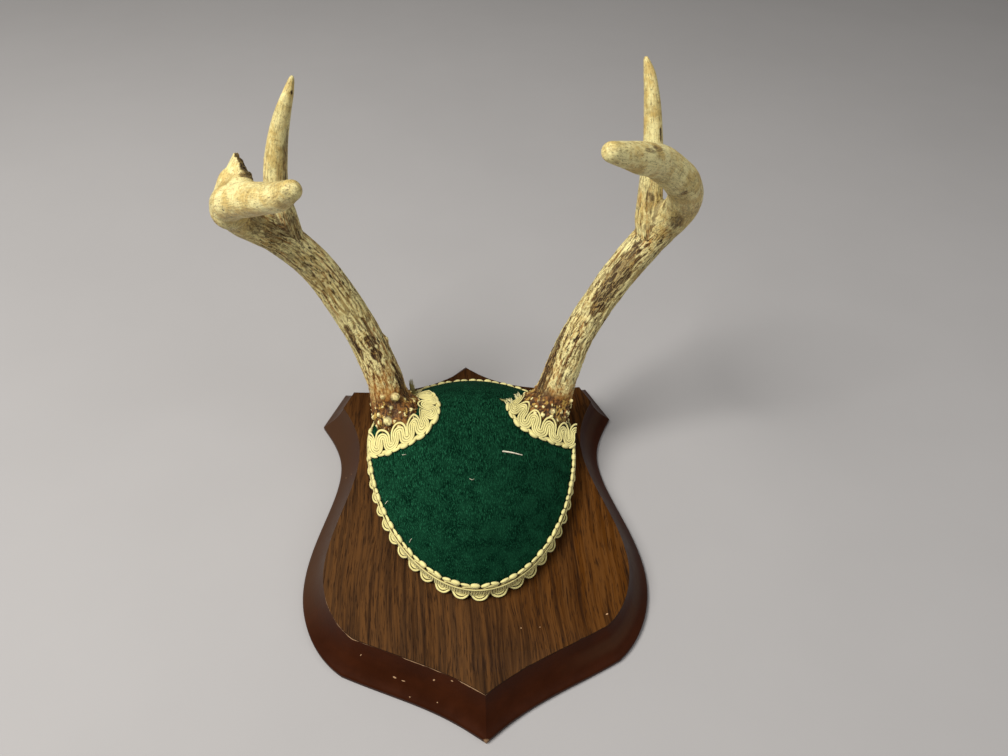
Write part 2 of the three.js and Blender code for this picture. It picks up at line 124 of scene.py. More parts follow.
# Each stem is [x, y, z, radius] along its middle line, from its root outwards. Pearls are
# [x, y, z, radius, paleness]. Stains are [x, y, z, half length, half width, strength] on the surface:
# brown stains, and soft dark patches that are painted shade on the beams' shaded sides and undersides.
ANTLERS = {
    "right": {
        "seat": (46.5, 48.5, 39.5),
        "beam": [
            [45.5, 48, 38, 11.4], [51.5, 56.5, 60, 10.4], [59.5, 64, 82, 9.3], [71.5, 71, 104, 9],
            [84.5, 75, 125.5, 9.2], [97.5, 76.5, 145.5, 9.4], [102.5, 65.5, 166, 8.5],
            [96, 50.5, 187, 8.3], [79, 37, 205.5, 7.7], [62.5, 19, 218.5, 6.3],
            [48.5, 6.5, 227.5, 4.1],
        ],
        "tine": [
            [94, 76, 141, 7.4], [91.8, 77.5, 152, 7.5], [90.2, 80.5, 168, 6.2], [88, 84.5, 192, 4.9],
            [85, 88.5, 210, 4], [82.5, 91.5, 221, 3], [80, 93, 227.5, 1.5],
        ],
        "pearls": [
            [46.2, 38.4, 49, 1.7, 0.5], [39.2, 39, 45.2, 1.6, 0.9], [52, 43.3, 60.4, 0.9, 0.6],
            [53.3, 43.2, 61.6, 0.9, 0.6], [53.8, 43.6, 63.2, 0.9, 0.6], [53, 44.2, 64.6, 0.9, 0.6],
            [51.5, 44.6, 65.2, 0.9, 0.6], [36, 49, 48, 1.5, 0.8], [48, 37.2, 44.2, 1.5, 0.8],
            [55.5, 40.5, 44.5, 1.2, 0.6], [57.5, 44.5, 51, 1.1, 0.6], [43, 38, 46.6, 1.0, 0.7],
        ],
        "stains_and_shade": [
            [75.1, 65.4, 118.3, 22, 5.5, 0.85], [78.9, 68.6, 129.1, 14, 3.5, 0.7],
            [43.8, 56.4, 68.5, 12, 4.2, 0.95], [47.6, 62.3, 78.5, 14, 3.5, 0.85],
            [39.6, 52.1, 56.9, 9, 5, 0.9], [90.5, 81.3, 195.5, 3, 0.9, 0.95],
            [71.4, 23.2, 220.2, 5, 1.2, 0.55], [66.3, 16.5, 222.9, 4, 1.0, 0.5],
            [94, 65.9, 167.1, 5, 1.5, 0.6], [51.5, 43.8, 62.4, 1.6, 1.3, 0.9],
            [99.4, 58.6, 162.1, 8, 3.5, 0.6], [92.4, 38.7, 190.3, 1.6, 1.4, 0.7],
        ],
    },
    "left": {
        "seat": (-46.5, 50, 39),
        "beam": [
            [-45, 50, 37, 11.4], [-49.5, 60, 58, 10.4], [-57, 68.5, 76.5, 9.9], [-68, 77, 97, 9.6],
            [-82, 85.5, 117, 9.4], [-97, 86, 135, 9.4], [-111, 74, 154.5, 8.6],
            [-111.5, 56, 174, 8.2], [-94.5, 34.5, 190.5, 7.3], [-79.5, 16.5, 202.5, 6],
            [-71.5, 6.5, 211.5, 4.3],
        ],
        "tine": [
            [-92.5, 86, 130.5, 7.4], [-95.5, 88.5, 146, 7.4], [-97, 91.5, 160, 6.4],
            [-94, 95, 180.5, 5.4], [-89, 96.5, 197, 4.1], [-84.5, 98, 208, 2.7], [-82, 99, 214.5, 1.4],
        ],
        "nub": [[-56, 70, 78, 5.5], [-50.5, 69.5, 79, 4], [-47, 69, 79.6, 1.7]],
        "ridge": [[-47.2, 69, 79.6, 1.6], [-47.8, 66.5, 73, 3]],
        "stub": [
            [-111.5, 57, 171, 9], [-107.8, 62.5, 181.5, 7.6], [-101.6, 68, 193, 4.8],
            [-98.9, 71.5, 199, 3.6],
        ],
        "web": [[-98, 40, 187, 6.5], [-102.3, 52, 184.3, 6.3], [-105.5, 60, 181, 6]],
        "break_point": (-102.4, 64.5, 187),
        "break_normal": (0.88, 0.25, 0.4),
        "pearls": [
            [-47.6, 38.4, 44.4, 2.3, 1.0], [-42.5, 46.2, 55.8, 2.5, 0.6], [-52.5, 42.5, 45.5, 1.2, 0.5],
            [-38, 49.5, 50.5, 1.5, 0.4], [-50, 47, 55.5, 1.3, 0.5], [-45.5, 43, 50.5, 1.0, 0.8],
            [-34.5, 47, 46, 1.2, 0.6],
        ],
        "stains_and_shade": [
            [-62.2, 60.4, 79.2, 7, 2.4, 0.95], [-66, 63.8, 87.4, 6, 2, 0.9],
            [-52.1, 58.7, 77.6, 4.6, 3.2, 0.95], [-54.5, 62.2, 84.5, 4.4, 3, 0.85],
            [-38.7, 53.3, 55.8, 14, 3.5, 0.95], [-45, 43.8, 49.5, 5, 4, 0.7],
            [-72.8, 2.7, 213.1, 2, 1.2, 0.3], [-108.7, 39, 182.4, 0.9, 0.8, 0.95],
            [-97.9, 75.8, 146.2, 12, 5, 0.45], [-103.5, 69.8, 156, 9, 6, 0.5],
            [-55.6, 65.3, 89.5, 9, 1.6, 0.7], [-91.6, 88.9, 161.6, 11, 2.2, 0.7],
            [-89.4, 92.8, 181.9, 14, 1.9, 0.6], [-83, 96.6, 208.6, 0.9, 0.8, 0.95],
        ],
    },
}
FORK = 5  # the beam's point where the tine leaves it


def srgb(red, green, blue):
    """A linear colour from the 0 to 255 values of a colour chart."""
    def channel(value):
        share = value / 255
        return share / 12.92 if share <= 0.04045 else ((share + 0.055) / 1.055) ** 2.4
    return (channel(red), channel(green), channel(blue))


# ---- Settings a user would change --------------------------------------------------------------


def colour(name, description, value):
    return bpy.props.FloatVectorProperty(
        name=name, description=description, subtype="COLOR", size=3, min=0, max=1, default=value
    )


def length(name, description, value):
    return bpy.props.FloatProperty(
        name=name, description=description, subtype="DISTANCE", unit="LENGTH", min=0, default=value
    )


class BoardSettings(bpy.types.PropertyGroup):
    """Sizes and colours of the shield board."""

    edge_width: length("Edge width", "How far the moulded edge stands out past the face", 12.3 * MM)
    outline_step: length("Outline step", "Distance between points along the outline", 1.0 * MM)
    chip_depth: length("Chip depth", "Deepest chip in the edge of the face sheet", 0.8 * MM)
    paint: colour("Edge paint", "Satin paint of the moulded edge", srgb(56, 22, 3))
    # Painted reflection: the grey that stands for the lamps' sheen on the left side and along the right
    # side.
    painted_sheen: colour("Faded paint", "Paint greyed by the light on the sides", srgb(72, 52, 36))
    worn: colour("Worn edge", "Bare fibre where the paint has worn off", srgb(168, 134, 100))
    walnut: colour("Walnut", "Middle tone of the grain sheet", srgb(81, 51, 22))
    pore: colour("Pores", "Dark pores and bands of the grain sheet", srgb(34, 18, 8))
    bare: colour("Bare back", "Unpainted wood on the back", srgb(150, 116, 78))


class FeltSettings(bpy.types.PropertyGroup):
    """Sizes and colours of the felt."""

    thickness: length("Thickness", "Thickness of the felt", 1.3 * MM)
    step: length("Mesh step", "Distance between mesh points across the felt", 1.2 * MM)
    dark: colour("Ground", "Depth of the felt between fibres", srgb(1, 24, 13))
    light: colour("Fibres", "Fibres that catch the light", srgb(38, 102, 70))


class BraidSettings(bpy.types.PropertyGroup):
    """Sizes and colours of the gimp braid."""

    width: length("Width", "Width of the braid, bead edge to scallops", 12.7 * MM)
    pitch: length("Pitch", "Length of one scallop", 9.7 * MM)
    cord: length("Cord", "Thickness of each cord of the braid", 1.2 * MM)
    cords: bpy.props.IntProperty(
        name="Cords", description="Cords side by side in the meander", default=4, min=1, max=8
    )
    cream: colour("Cream", "Colour of the rayon cords", srgb(242, 231, 156))
    # Painted shade: the colour laid between the cords and beneath them; it also tints the winding and the
    # mottle.
    shade: colour("Shade", "Colour between the cords", srgb(112, 88, 36))


class AntlerSettings(bpy.types.PropertyGroup):
    """Sizes and colours of the antlers."""

    voxel: length("Mesh step", "Size of the antlers' mesh cells", 0.62 * MM)
    groove_depth: length("Groove depth", "Depth of the grooves along the lower beam", 0.55 * MM)
    bone: colour("Bone", "Pale rubbed bone", srgb(246, 233, 166))
    tan: colour("Tan", "Olive tan between the pale ridges", srgb(198, 162, 80))
    brown: colour("Brown", "Brown stain in the grooves", srgb(76, 42, 10))
    olive: colour("Olive", "Greener bone in the worn patches", srgb(160, 140, 76))
    rust: colour("Rust", "Orange stain round the burrs", srgb(176, 112, 40))


class StageSettings(bpy.types.PropertyGroup):
    """The floor and the lights."""

    floor: colour("Floor", "Colour of the plain floor", srgb(172, 169, 168))
    key: bpy.props.FloatProperty(
        name="Key light", description="Power of the large light", unit="POWER", default=23, min=0
    )
    fill: bpy.props.FloatProperty(
        name="Fill light", description="Power of the fill light", unit="POWER", default=5, min=0
    )


# ---- Outlines, lofts and noise -----------------------------------------------------------------


def half_outline(start, curves, step):
    """Right half of an outline in millimetres, top to bottom, with points about step apart."""
    points = [np.array([start], float)]
    for end, *controls in curves:
        first = points[-1][-1]
        last = np.array(end, float)
        if controls:
            second, third = (np.array(c, float) for c in controls)
        else:
            second, third = first + (last - first) / 3, first + (last - first) * 2 / 3
        rough = cubic(first, second, third, last, 40)
        run = np.linalg.norm(np.diff(rough, axis=0), axis=1).sum()
        points.append(cubic(first, second, third, last, max(1, math.ceil(run / step)))[1:])
    return np.vstack(points)


def cubic(a, b, c, d, steps):
    t = np.linspace(0, 1, steps + 1)[:, None]
    return (1 - t) ** 3 * a + 3 * (1 - t) ** 2 * t * b + 3 * (1 - t) * t * t * c + t**3 * d


def outline(start, curves, step):
    """The whole outline, counterclockwise from its bottom."""
    right = half_outline(start, curves, step)
    return np.vstack([right[::-1], right[1:-1] * (-1, 1)])


def outset(points, distance):
    """Moves an outline outwards by a distance, or by one distance for each point."""
    before = points - np.roll(points, 1, 0)
    after = np.roll(points, -1, 0) - points
    before /= np.linalg.norm(before, axis=1)[:, None]
    after /= np.linalg.norm(after, axis=1)[:, None]
    normal = np.stack([before[:, 1] + after[:, 1], -before[:, 0] - after[:, 0]], 1)
    normal /= np.linalg.norm(normal, axis=1)[:, None]
    mitre = normal[:, 0] * before[:, 1] - normal[:, 1] * before[:, 0]
    return points + normal * (distance / mitre)[:, None]


def at_height(points, z):
    return np.column_stack([points, np.full(len(points), z)])


def loft(rings, capped=True):
    """Vertices and faces through rings of equally many points, which turn outwards."""
    count = len(rings[0])
    faces = []
    for r in range(len(rings) - 1):
        for i in range(count):
            a = r * count + i
            b = r * count + (i + 1) % count
            faces.append((a, b, b + count, a + count))
    if capped:
        last = (len(rings) - 1) * count
        faces.append(tuple(range(count - 1, -1, -1)))
        faces.append(tuple(range(last, last + count)))
    return np.vstack(rings), faces


def lattice_noise(points, seed):
    """Smooth noise from about -1 to 1 at each point, with one lattice cell per unit."""
    cell = np.floor(points).astype(np.int64)
    part = points - cell
    ease = part**3 * (part * (part * 6 - 15) + 10)
    total = np.zeros(len(points))
    for corner in itertools.product((0, 1), repeat=3):
        corner = np.array(corner)
        spot = cell + corner
        key = spot[:, 0] * 73856093 ^ spot[:, 1] * 19349663 ^ spot[:, 2] * 83492791 ^ seed * 9781
        dot = np.zeros(len(points))
        for axis in range(3):
            key = (key ^ (key >> 15)) * 2246822519 & 0xFFFFFFFF
            key = (key ^ (key >> 13)) * 3266489917 & 0xFFFFFFFF
            dot += (key / 0x7FFFFFFF - 1) * (part[:, axis] - corner[axis])
        total += dot * np.prod(np.where(corner, ease, 1 - ease), axis=1)
    return total * 1.4


def smooth_step(low, high, value):
    t = np.clip((value - low) / (high - low), 0, 1)
    return t * t * (3 - 2 * t)


# ---- Objects and pieces ------------------------------------------------------------------------


def new_object(name, vertices, faces, smooth_angle=35):
    """An object with its mesh in metres, from vertices in millimetres."""
    mesh = bpy.data.meshes.new(name)
    mesh.from_pydata((np.asarray(vertices) * MM).tolist(), [], faces)
    mesh.update()
    obj = bpy.data.objects.new(name, mesh)
    bpy.context.scene.collection.objects.link(obj)
    smooth(obj, smooth_angle)
    return obj


def smooth(obj, angle):
    obj.data.shade_smooth()
    obj.data.set_sharp_from_angle(angle=math.radians(angle))


def settle(obj):
    """Turns an object and its live modifiers into one plain mesh."""
    depsgraph = bpy.context.evaluated_depsgraph_get()
    mesh = bpy.data.meshes.new_from_object(obj.evaluated_get(depsgraph))
    obj.modifiers.clear()
    old = obj.data
    obj.data = mesh
    bpy.data.meshes.remove(old)
    mesh.name = obj.name


def finish_piece(obj, material, replaces=()):
    """Gives a piece its material, hangs it on the body's empty, and hides the frame's parts that it
    replaces.
    """
    obj.data.materials.clear()
    obj.data.materials.append(material)
    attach(obj, BODY)
    if replaces:
        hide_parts(*replaces)


def vertex_places(obj):
    places = np.empty(len(obj.data.vertices) * 3)
    obj.data.vertices.foreach_get("co", places)
    return places.reshape(-1, 3) / MM


def set_attribute(obj, name, values):
    """Stores one number or one vector for each vertex."""
    values = np.asarray(values, np.float32)
    kind = "FLOAT_VECTOR" if values.ndim == 2 else "FLOAT"
    attribute = obj.data.attributes.new(name, kind, "POINT")
    attribute.data.foreach_set("vector" if values.ndim == 2 else "value", values.ravel())


def cut_away(obj, cutters):
    """Cuts closed shapes out of an object and removes them."""
    for cutter in cutters:
        modifier = obj.modifiers.new("cut", "BOOLEAN")
        modifier.operation = "DIFFERENCE"
        modifier.solver = "EXACT"
        modifier.object = cutter
    settle(obj)
    for cutter in cutters:
        mesh = cutter.data
        bpy.data.objects.remove(cutter)
        bpy.data.meshes.remove(mesh)


# ---- Node helpers ------------------------------------------------------------------------------


def add(tree, kind, inputs=None, **settings):
    """Adds a node. Inputs are named or numbered, and are values or other nodes' outputs."""
    node = tree.nodes.new(kind)
    for key, value in settings.items():
        setattr(node, key, value)
    for key, value in (inputs or {}).items():
        plug(tree, node.inputs[key], value)
    return node


def plug(tree, socket, value):
    if isinstance(value, bpy.types.NodeSocket):
        tree.links.new(value, socket)
    elif value is not None:
        if hasattr(value, "__len__") and socket.type == "RGBA" and len(value) == 3:
            value = (*value, 1)
        socket.default_value = value


def tree_of(values):
    """The node tree of the first value that is a node's output."""
    return next(value.id_data for value in values if isinstance(value, bpy.types.NodeSocket))


def maths(operation, *values):
    """A Math node's result. At least one value is a node's output."""
    return add(tree_of(values), "ShaderNodeMath", dict(enumerate(values)), operation=operation).outputs[0]


def plus(first, second):
    return maths("ADD", first, second)


def minus(first, second):
    return maths("SUBTRACT", first, second)


def times(first, second):
    return maths("MULTIPLY", first, second)


def vector_maths(operation, *values):
    """A Vector Math node's result. At least one value is a node's output."""
    node = add(tree_of(values), "ShaderNodeVectorMath", dict(enumerate(values)), operation=operation)
    return node.outputs[0]


def mix(factor, first, second):
    """Mixes two colours."""
    inputs = {0: factor, 6: first, 7: second}
    return add(tree_of(inputs.values()), "ShaderNodeMix", inputs, data_type="RGBA").outputs[2]


def between(value, low, high):
    """A smooth step from 0 to 1 as value goes from low to high."""
    inputs = {0: value, 1: low, 2: high}
    kind = "ShaderNodeMapRange"
    return add(value.id_data, kind, inputs, interpolation_type="SMOOTHSTEP").outputs[0]


def noise(tree, vector, scale, detail=2.0, roughness=0.5, distortion=0.0):
    inputs = {"Vector": vector, "Scale": scale, "Detail": detail, "Roughness": roughness}
    inputs["Distortion"] = distortion
    return add(tree, "ShaderNodeTexNoise", inputs).outputs[0]


def new_group(name, inputs, outputs):
    """A shader node group with named sockets, and its input and output nodes."""
    group = bpy.data.node_groups.new(name, "ShaderNodeTree")
    for socket, kind, value in inputs:
        made = group.interface.new_socket(name=socket, in_out="INPUT", socket_type=kind)
        if value is not None:
            made.default_value = value
    for socket, kind in outputs:
        group.interface.new_socket(name=socket, in_out="OUTPUT", socket_type=kind)
    return group, group.nodes.new("NodeGroupInput"), group.nodes.new("NodeGroupOutput")


def use_group(tree, group, **inputs):
    """Places a shader node group; its inputs are named with underscores for spaces."""
    node = add(tree, "ShaderNodeGroup", node_tree=group)
    for name, value in inputs.items():
        plug(tree, node.inputs[name.replace("_", " ")], value)
    return node.outputs[0]


def streaks_group():
    """Noise drawn out along Z: grain, fibres and lengthwise stain."""
    sockets = [
        ("Vector", "NodeSocketVector", None),
        ("Across", "NodeSocketFloat", 1.0),
        ("Along", "NodeSocketFloat", 10.0),
        ("Detail", "NodeSocketFloat", 3.0),
        ("Low", "NodeSocketFloat", 0.4),
        ("High", "NodeSocketFloat", 0.6),
    ]
    group, source, sink = new_group("Streaks", sockets, [("Mask", "NodeSocketFloat")])
    across = maths("DIVIDE", 1000.0, source.outputs["Across"])
    along = maths("DIVIDE", 1000.0, source.outputs["Along"])
    inputs = {0: across, 1: across, 2: along}
    scale = add(group, "ShaderNodeCombineXYZ", inputs).outputs[0]
    place = vector_maths("MULTIPLY", source.outputs["Vector"], scale)
    value = noise(group, place, 1.0, source.outputs["Detail"], 0.6, 0.3)
    mask = between(value, source.outputs["Low"], source.outputs["High"])
    group.links.new(mask, sink.inputs[0])
    return group


def mottle_group():
    """Two sizes of cloudy noise, from 0 to 1."""
    sockets = [
        ("Vector", "NodeSocketVector", None),
        ("Size", "NodeSocketFloat", 10.0),
        ("Low", "NodeSocketFloat", 0.35),
        ("High", "NodeSocketFloat", 0.65),
    ]
    group, source, sink = new_group("Mottle", sockets, [("Mask", "NodeSocketFloat")])
    scale = maths("DIVIDE", 1000.0, source.outputs["Size"])
    coarse = noise(group, source.outputs["Vector"], scale, 3.0, 0.55)
    finer = times(scale, 4.3)
    fine = noise(group, source.outputs["Vector"], finer, 3.0, 0.6)
    value = plus(times(coarse, 0.7), times(fine, 0.3))
    mask = between(value, source.outputs["Low"], source.outputs["High"])
    group.links.new(mask, sink.inputs[0])
    return group


def specks_group():
    """Scattered specks: 1 on a speck and 0 elsewhere."""
    sockets = [
        ("Vector", "NodeSocketVector", None),
        ("Spacing", "NodeSocketFloat", 5.0),
        ("Radius", "NodeSocketFloat", 0.2),
        ("Share", "NodeSocketFloat", 0.5),
    ]
    group, source, sink = new_group("Specks", sockets, [("Mask", "NodeSocketFloat")])
    scale = maths("DIVIDE", 1000.0, source.outputs["Spacing"])
    ragged = noise(group, source.outputs["Vector"], times(scale, 6.0))
    cells = add(group, "ShaderNodeTexVoronoi", {"Vector": source.outputs["Vector"], "Scale": scale})
    reach = plus(cells.outputs["Distance"], times(ragged, 0.12))
    limit = maths("DIVIDE", source.outputs["Radius"], source.outputs["Spacing"])
    limit = plus(limit, 0.06)
    near = between(reach, limit, times(limit, 0.8))
    lot = add(group, "ShaderNodeSeparateColor", {0: cells.outputs["Color"]}).outputs[0]
    chosen = maths("LESS_THAN", lot, source.outputs["Share"])
    group.links.new(times(near, chosen), sink.inputs[0])
    return group


GROUPS = {}


def shared(name):
    """A shared node group, made the first time it is asked for."""
    makers = {"streaks": streaks_group, "mottle": mottle_group, "specks": specks_group}
    if name not in GROUPS:
        GROUPS[name] = makers[name]()
    return GROUPS[name]


def mottle(place, size, low=0.35, high=0.65):
    """Cloudy patches, about size millimetres across."""
    return use_group(place.id_data, shared("mottle"), Vector=place, Size=size, Low=low, High=high)


def streaks(place, across, along, low=0.4, high=0.6, detail=3.0):
    """Streaks along Z, about across wide and along long in millimetres."""
    sizes = {"Across": across, "Along": along, "Detail": detail, "Low": low, "High": high}
    return use_group(place.id_data, shared("streaks"), Vector=place, **sizes)


def new_material(name, **constants):
    """A material with one Principled shader. Returns the material, its tree and the shader."""
    material = bpy.data.materials.new(name)
    material.use_nodes = True
    tree = material.node_tree
    tree.nodes.clear()
    shader = tree.nodes.new("ShaderNodeBsdfPrincipled")
    output = tree.nodes.new("ShaderNodeOutputMaterial")
    tree.links.new(shader.outputs[0], output.inputs[0])
    for socket, value in constants.items():
        plug(tree, shader.inputs[socket.replace("_", " ")], value)
    return material, tree, shader


def object_place(tree):
    return add(tree, "ShaderNodeTexCoord").outputs["Object"]


def marks(tree, place, spots):
    """A mask of small worn spots, each [x, y, half length, half width, turn in degrees] in mm."""
    rough = times(noise(tree, place, 1600.0, 2.0), 0.5)
    mask = 0.0
    for x, y, long, wide, turn in spots:
        inputs = {"Vector": place, "Location": (x * MM, y * MM, 0), "Rotation": (0, 0, math.radians(turn))}
        inputs["Scale"] = (long * MM, wide * MM, 1e6)
        local = add(tree, "ShaderNodeMapping", inputs, vector_type="TEXTURE").outputs[0]
        distance = add(tree, "ShaderNodeVectorMath", {0: local}, operation="LENGTH").outputs["Value"]
        spot = between(plus(distance, rough), 1.25, 0.85)
        mask = maths("MAXIMUM", mask, spot)
    return mask


def axes(tree, vector):
    """The X, Y and Z of a vector."""
    return add(tree, "ShaderNodeSeparateXYZ", {0: vector}).outputs


def position(tree):
    return add(tree, "GeometryNodeInputPosition").outputs[0]


def shaded(colour, share):
    """A colour made darker, or lighter where share is above 1."""
    return tuple(channel * share for channel in colour)


def attribute(tree, name):
    return add(tree, "ShaderNodeAttribute", attribute_name=name)


def bump(tree, shader, height, strength, distance):
    inputs = {"Strength": strength, "Distance": distance, "Height": height}
    node = add(tree, "ShaderNodeBump", inputs)
    tree.links.new(node.outputs[0], shader.inputs["Normal"])


# ---- Board -------------------------------------------------------------------------------------


def edge_profile(width):
    """Outward reach and height up the moulded edge, from the back face to the face sheet."""
    profile = [(width - EDGE_ROUND, 0), (width - 0.15, 0.15), (width, EDGE_ROUND)]
    profile += [(width, EDGE_LIP - 0.3), (width - 0.12, EDGE_LIP)]
    slope = np.array([-width, FACE_LOW - EDGE_LIP])
    inward = np.array([-slope[1], slope[0]]) / np.linalg.norm(slope)
    for i in range(1, EDGE_STEPS + 1):
        t = i / EDGE_STEPS
        reach, z = np.array([width, EDGE_LIP]) + slope * t + inward * 4 * EDGE_HOLLOW * t * (1 - t)
        profile.append((reach, z))
    return profile


def cylinder(name, x, y, profile):
    """A turned shape about +Z from [radius, height] rings."""
    angles = np.linspace(0, 2 * math.pi, HOLE_SIDES, endpoint=False)
    circle = np.column_stack([np.cos(angles), np.sin(angles)])
    return new_object(name, *loft([at_height(circle * r + (x, y), z) for r, z in profile]))


def back_cutters():
    """Screw holes, the hanger's pocket and its brad holes."""
    cutters = []
    for x, y in SCREW_SPOTS:
        profile = [(SCREW_HEAD, -1), (SCREW_HEAD, 0.3), (SCREW_SHANK, SCREW_HEAD_DEPTH)]
        cutters.append(cylinder("screw_cut", x, y, [*profile, (SCREW_SHANK, SCREW_DEPTH)]))
    for side in (-1, 1):
        profile = [(BRAD_HOLE, 1), (BRAD_HOLE, 11)]
        cutters.append(cylinder("brad_cut", side * BRAD_SPACING / 2, HANGER_Y, profile))
    half = np.array(POCKET[:2]) / 2
    corners = np.array([(-1, -1), (1, -1), (1, 1), (-1, 1)]) * half + (0, HANGER_Y)
    pocket = loft([at_height(corners, -POCKET[2]), at_height(corners, POCKET[2])])
    cutters.append(new_object("pocket_cut", *pocket))
    return cutters


# Each mark is [x, y, half length, half width, turn in degrees], in millimetres.
PAINT_CHIPS = [
    (-42.3, -93, 1.1, 0.3, -25), (-38.1, -94.9, 1.0, 0.2, -20), (-23.5, -97.4, 0.6, 0.3, -10),
    (-15.1, -99.7, 0.7, 0.2, -25), (-22.2, -105, 0.35, 0.25, 0), (-74, 28.8, 0.3, 0.25, 0),
    (-70.5, 28.6, 0.3, 0.25, 0), (-58.4, -82.8, 0.5, 0.2, 20), (-35.2, -101, 0.5, 0.2, -20),
]


def paint_material(settings):
    """Satin brown paint with a worn upper arris, chips, and a bare wooden back, with painted reflection
    greying the left side and a band along the right side.
    """
    material, tree, shader = new_material("edge_paint", Specular_IOR_Level=0.09)
    place = object_place(tree)
    x, y, z = axes(tree, place)
    cloudy = mottle(place, 24.0, 0.3, 0.7)
    deep = shaded(settings.paint, 0.62)
    tone = mix(cloudy, deep, settings.paint)
    brushed = streaks(place, 14.0, 2.2, 0.35, 0.7)
    tone = mix(times(brushed, 0.35), tone, deep)
    # Painted reflection: the left side of the edge greyed as if by the lamps' sheen.
    left = times(between(x, -0.052, -0.078), between(y, -0.075, -0.03))
    tone = mix(times(left, 0.6), tone, settings.painted_sheen)
    # Painted reflection: a grey band along the middle height of the right side.
    middle = between(maths("ABSOLUTE", minus(z, 0.0095)), 0.004, 0.001)
    right = times(between(x, 0.03, 0.07), middle)
    tone = mix(times(right, 0.3), tone, settings.painted_sheen)
    ragged = noise(tree, place, 900.0, 3.0, 0.7)
    patchy = noise(tree, place, 70.0, 2.0)
    width = times(between(patchy, 0.40, 0.6), 0.0008)
    lower_left = times(between(x, 0.012, -0.002), between(y, -0.03, -0.06))
    width = times(width, plus(0.3, lower_left))
    reach = plus(z, times(width, ragged))
    edge = between(reach, FACE_LOW * MM - 0.00008, FACE_LOW * MM + 0.00018)
    edge = times(edge, plus(0.3, times(lower_left, 0.6)))
    foot = between(plus(y, times(ragged, 0.0012)), -0.1212, -0.1219)
    chips = maths("MAXIMUM", marks(tree, place, PAINT_CHIPS), times(foot, 0.6))
    worn = maths("MAXIMUM", edge, chips)
    tone = mix(worn, tone, settings.worn)
    grain = streaks(turned_to_y(tree, place), 1.6, 30.0)
    bare = mix(grain, settings.bare, shaded(settings.bare, 0.66))
    overspray = plus(z, times(noise(tree, place, 120.0), 0.0004))
    back = between(overspray, 0.00045, 0.0003)
    tone = mix(back, tone, bare)
    tree.links.new(tone, shader.inputs["Base Color"])
    dull = maths("MAXIMUM", worn, back)
    gloss = plus(0.36, times(cloudy, 0.12))
    roughness = plus(gloss, times(dull, 0.35))
    tree.links.new(roughness, shader.inputs["Roughness"])
    fine = noise(tree, place, 420.0, 4.0, 0.6)
    bump(tree, shader, minus(fine, times(worn, 1.5)), 0.16, 0.0004)
    return material


def turned_to_y(tree, place):
    """Swaps Y and Z, so that streaks run along Y."""
    x, y, z = axes(tree, place)
    return add(tree, "ShaderNodeCombineXYZ", {0: x, 1: z, 2: y}).outputs[0]


# Broad bands of the printed grain across the sheet: [x in millimetres, darkness].
GRAIN_BANDS = [
    (-80, 0.5), (-72, 0.3), (-64, 0.65), (-56, 0.25), (-48, 0.55), (-41, 0.3), (-34, 0.5), (-31, 0.2),
    (-27, 0.95), (-21, 0.4), (-14, 0.15), (-9, 0.5), (-5, 0.2), (1, 0.75), (5, 0.95), (9, 0.35),
    (15, 0.3), (21, 0.0), (28, 0.12), (34, 0.4), (40, 0.3), (45, 0.95), (50, 0.35), (58, 0.1),
    (66, 0.4), (73, 0.15), (80, 0.5),
]
GRAIN_WIDTH = 160  # of the sheet that the bands cover
# Small worn spots on the sheet, written like the chips.
FACE_SPECKS = [(62.7, -71.5, 0.7, 0.35, 20), (19.2, -76.6, 0.35, 0.3, 0), (28.5, -76.6, 0.25, 0.25, 0)]


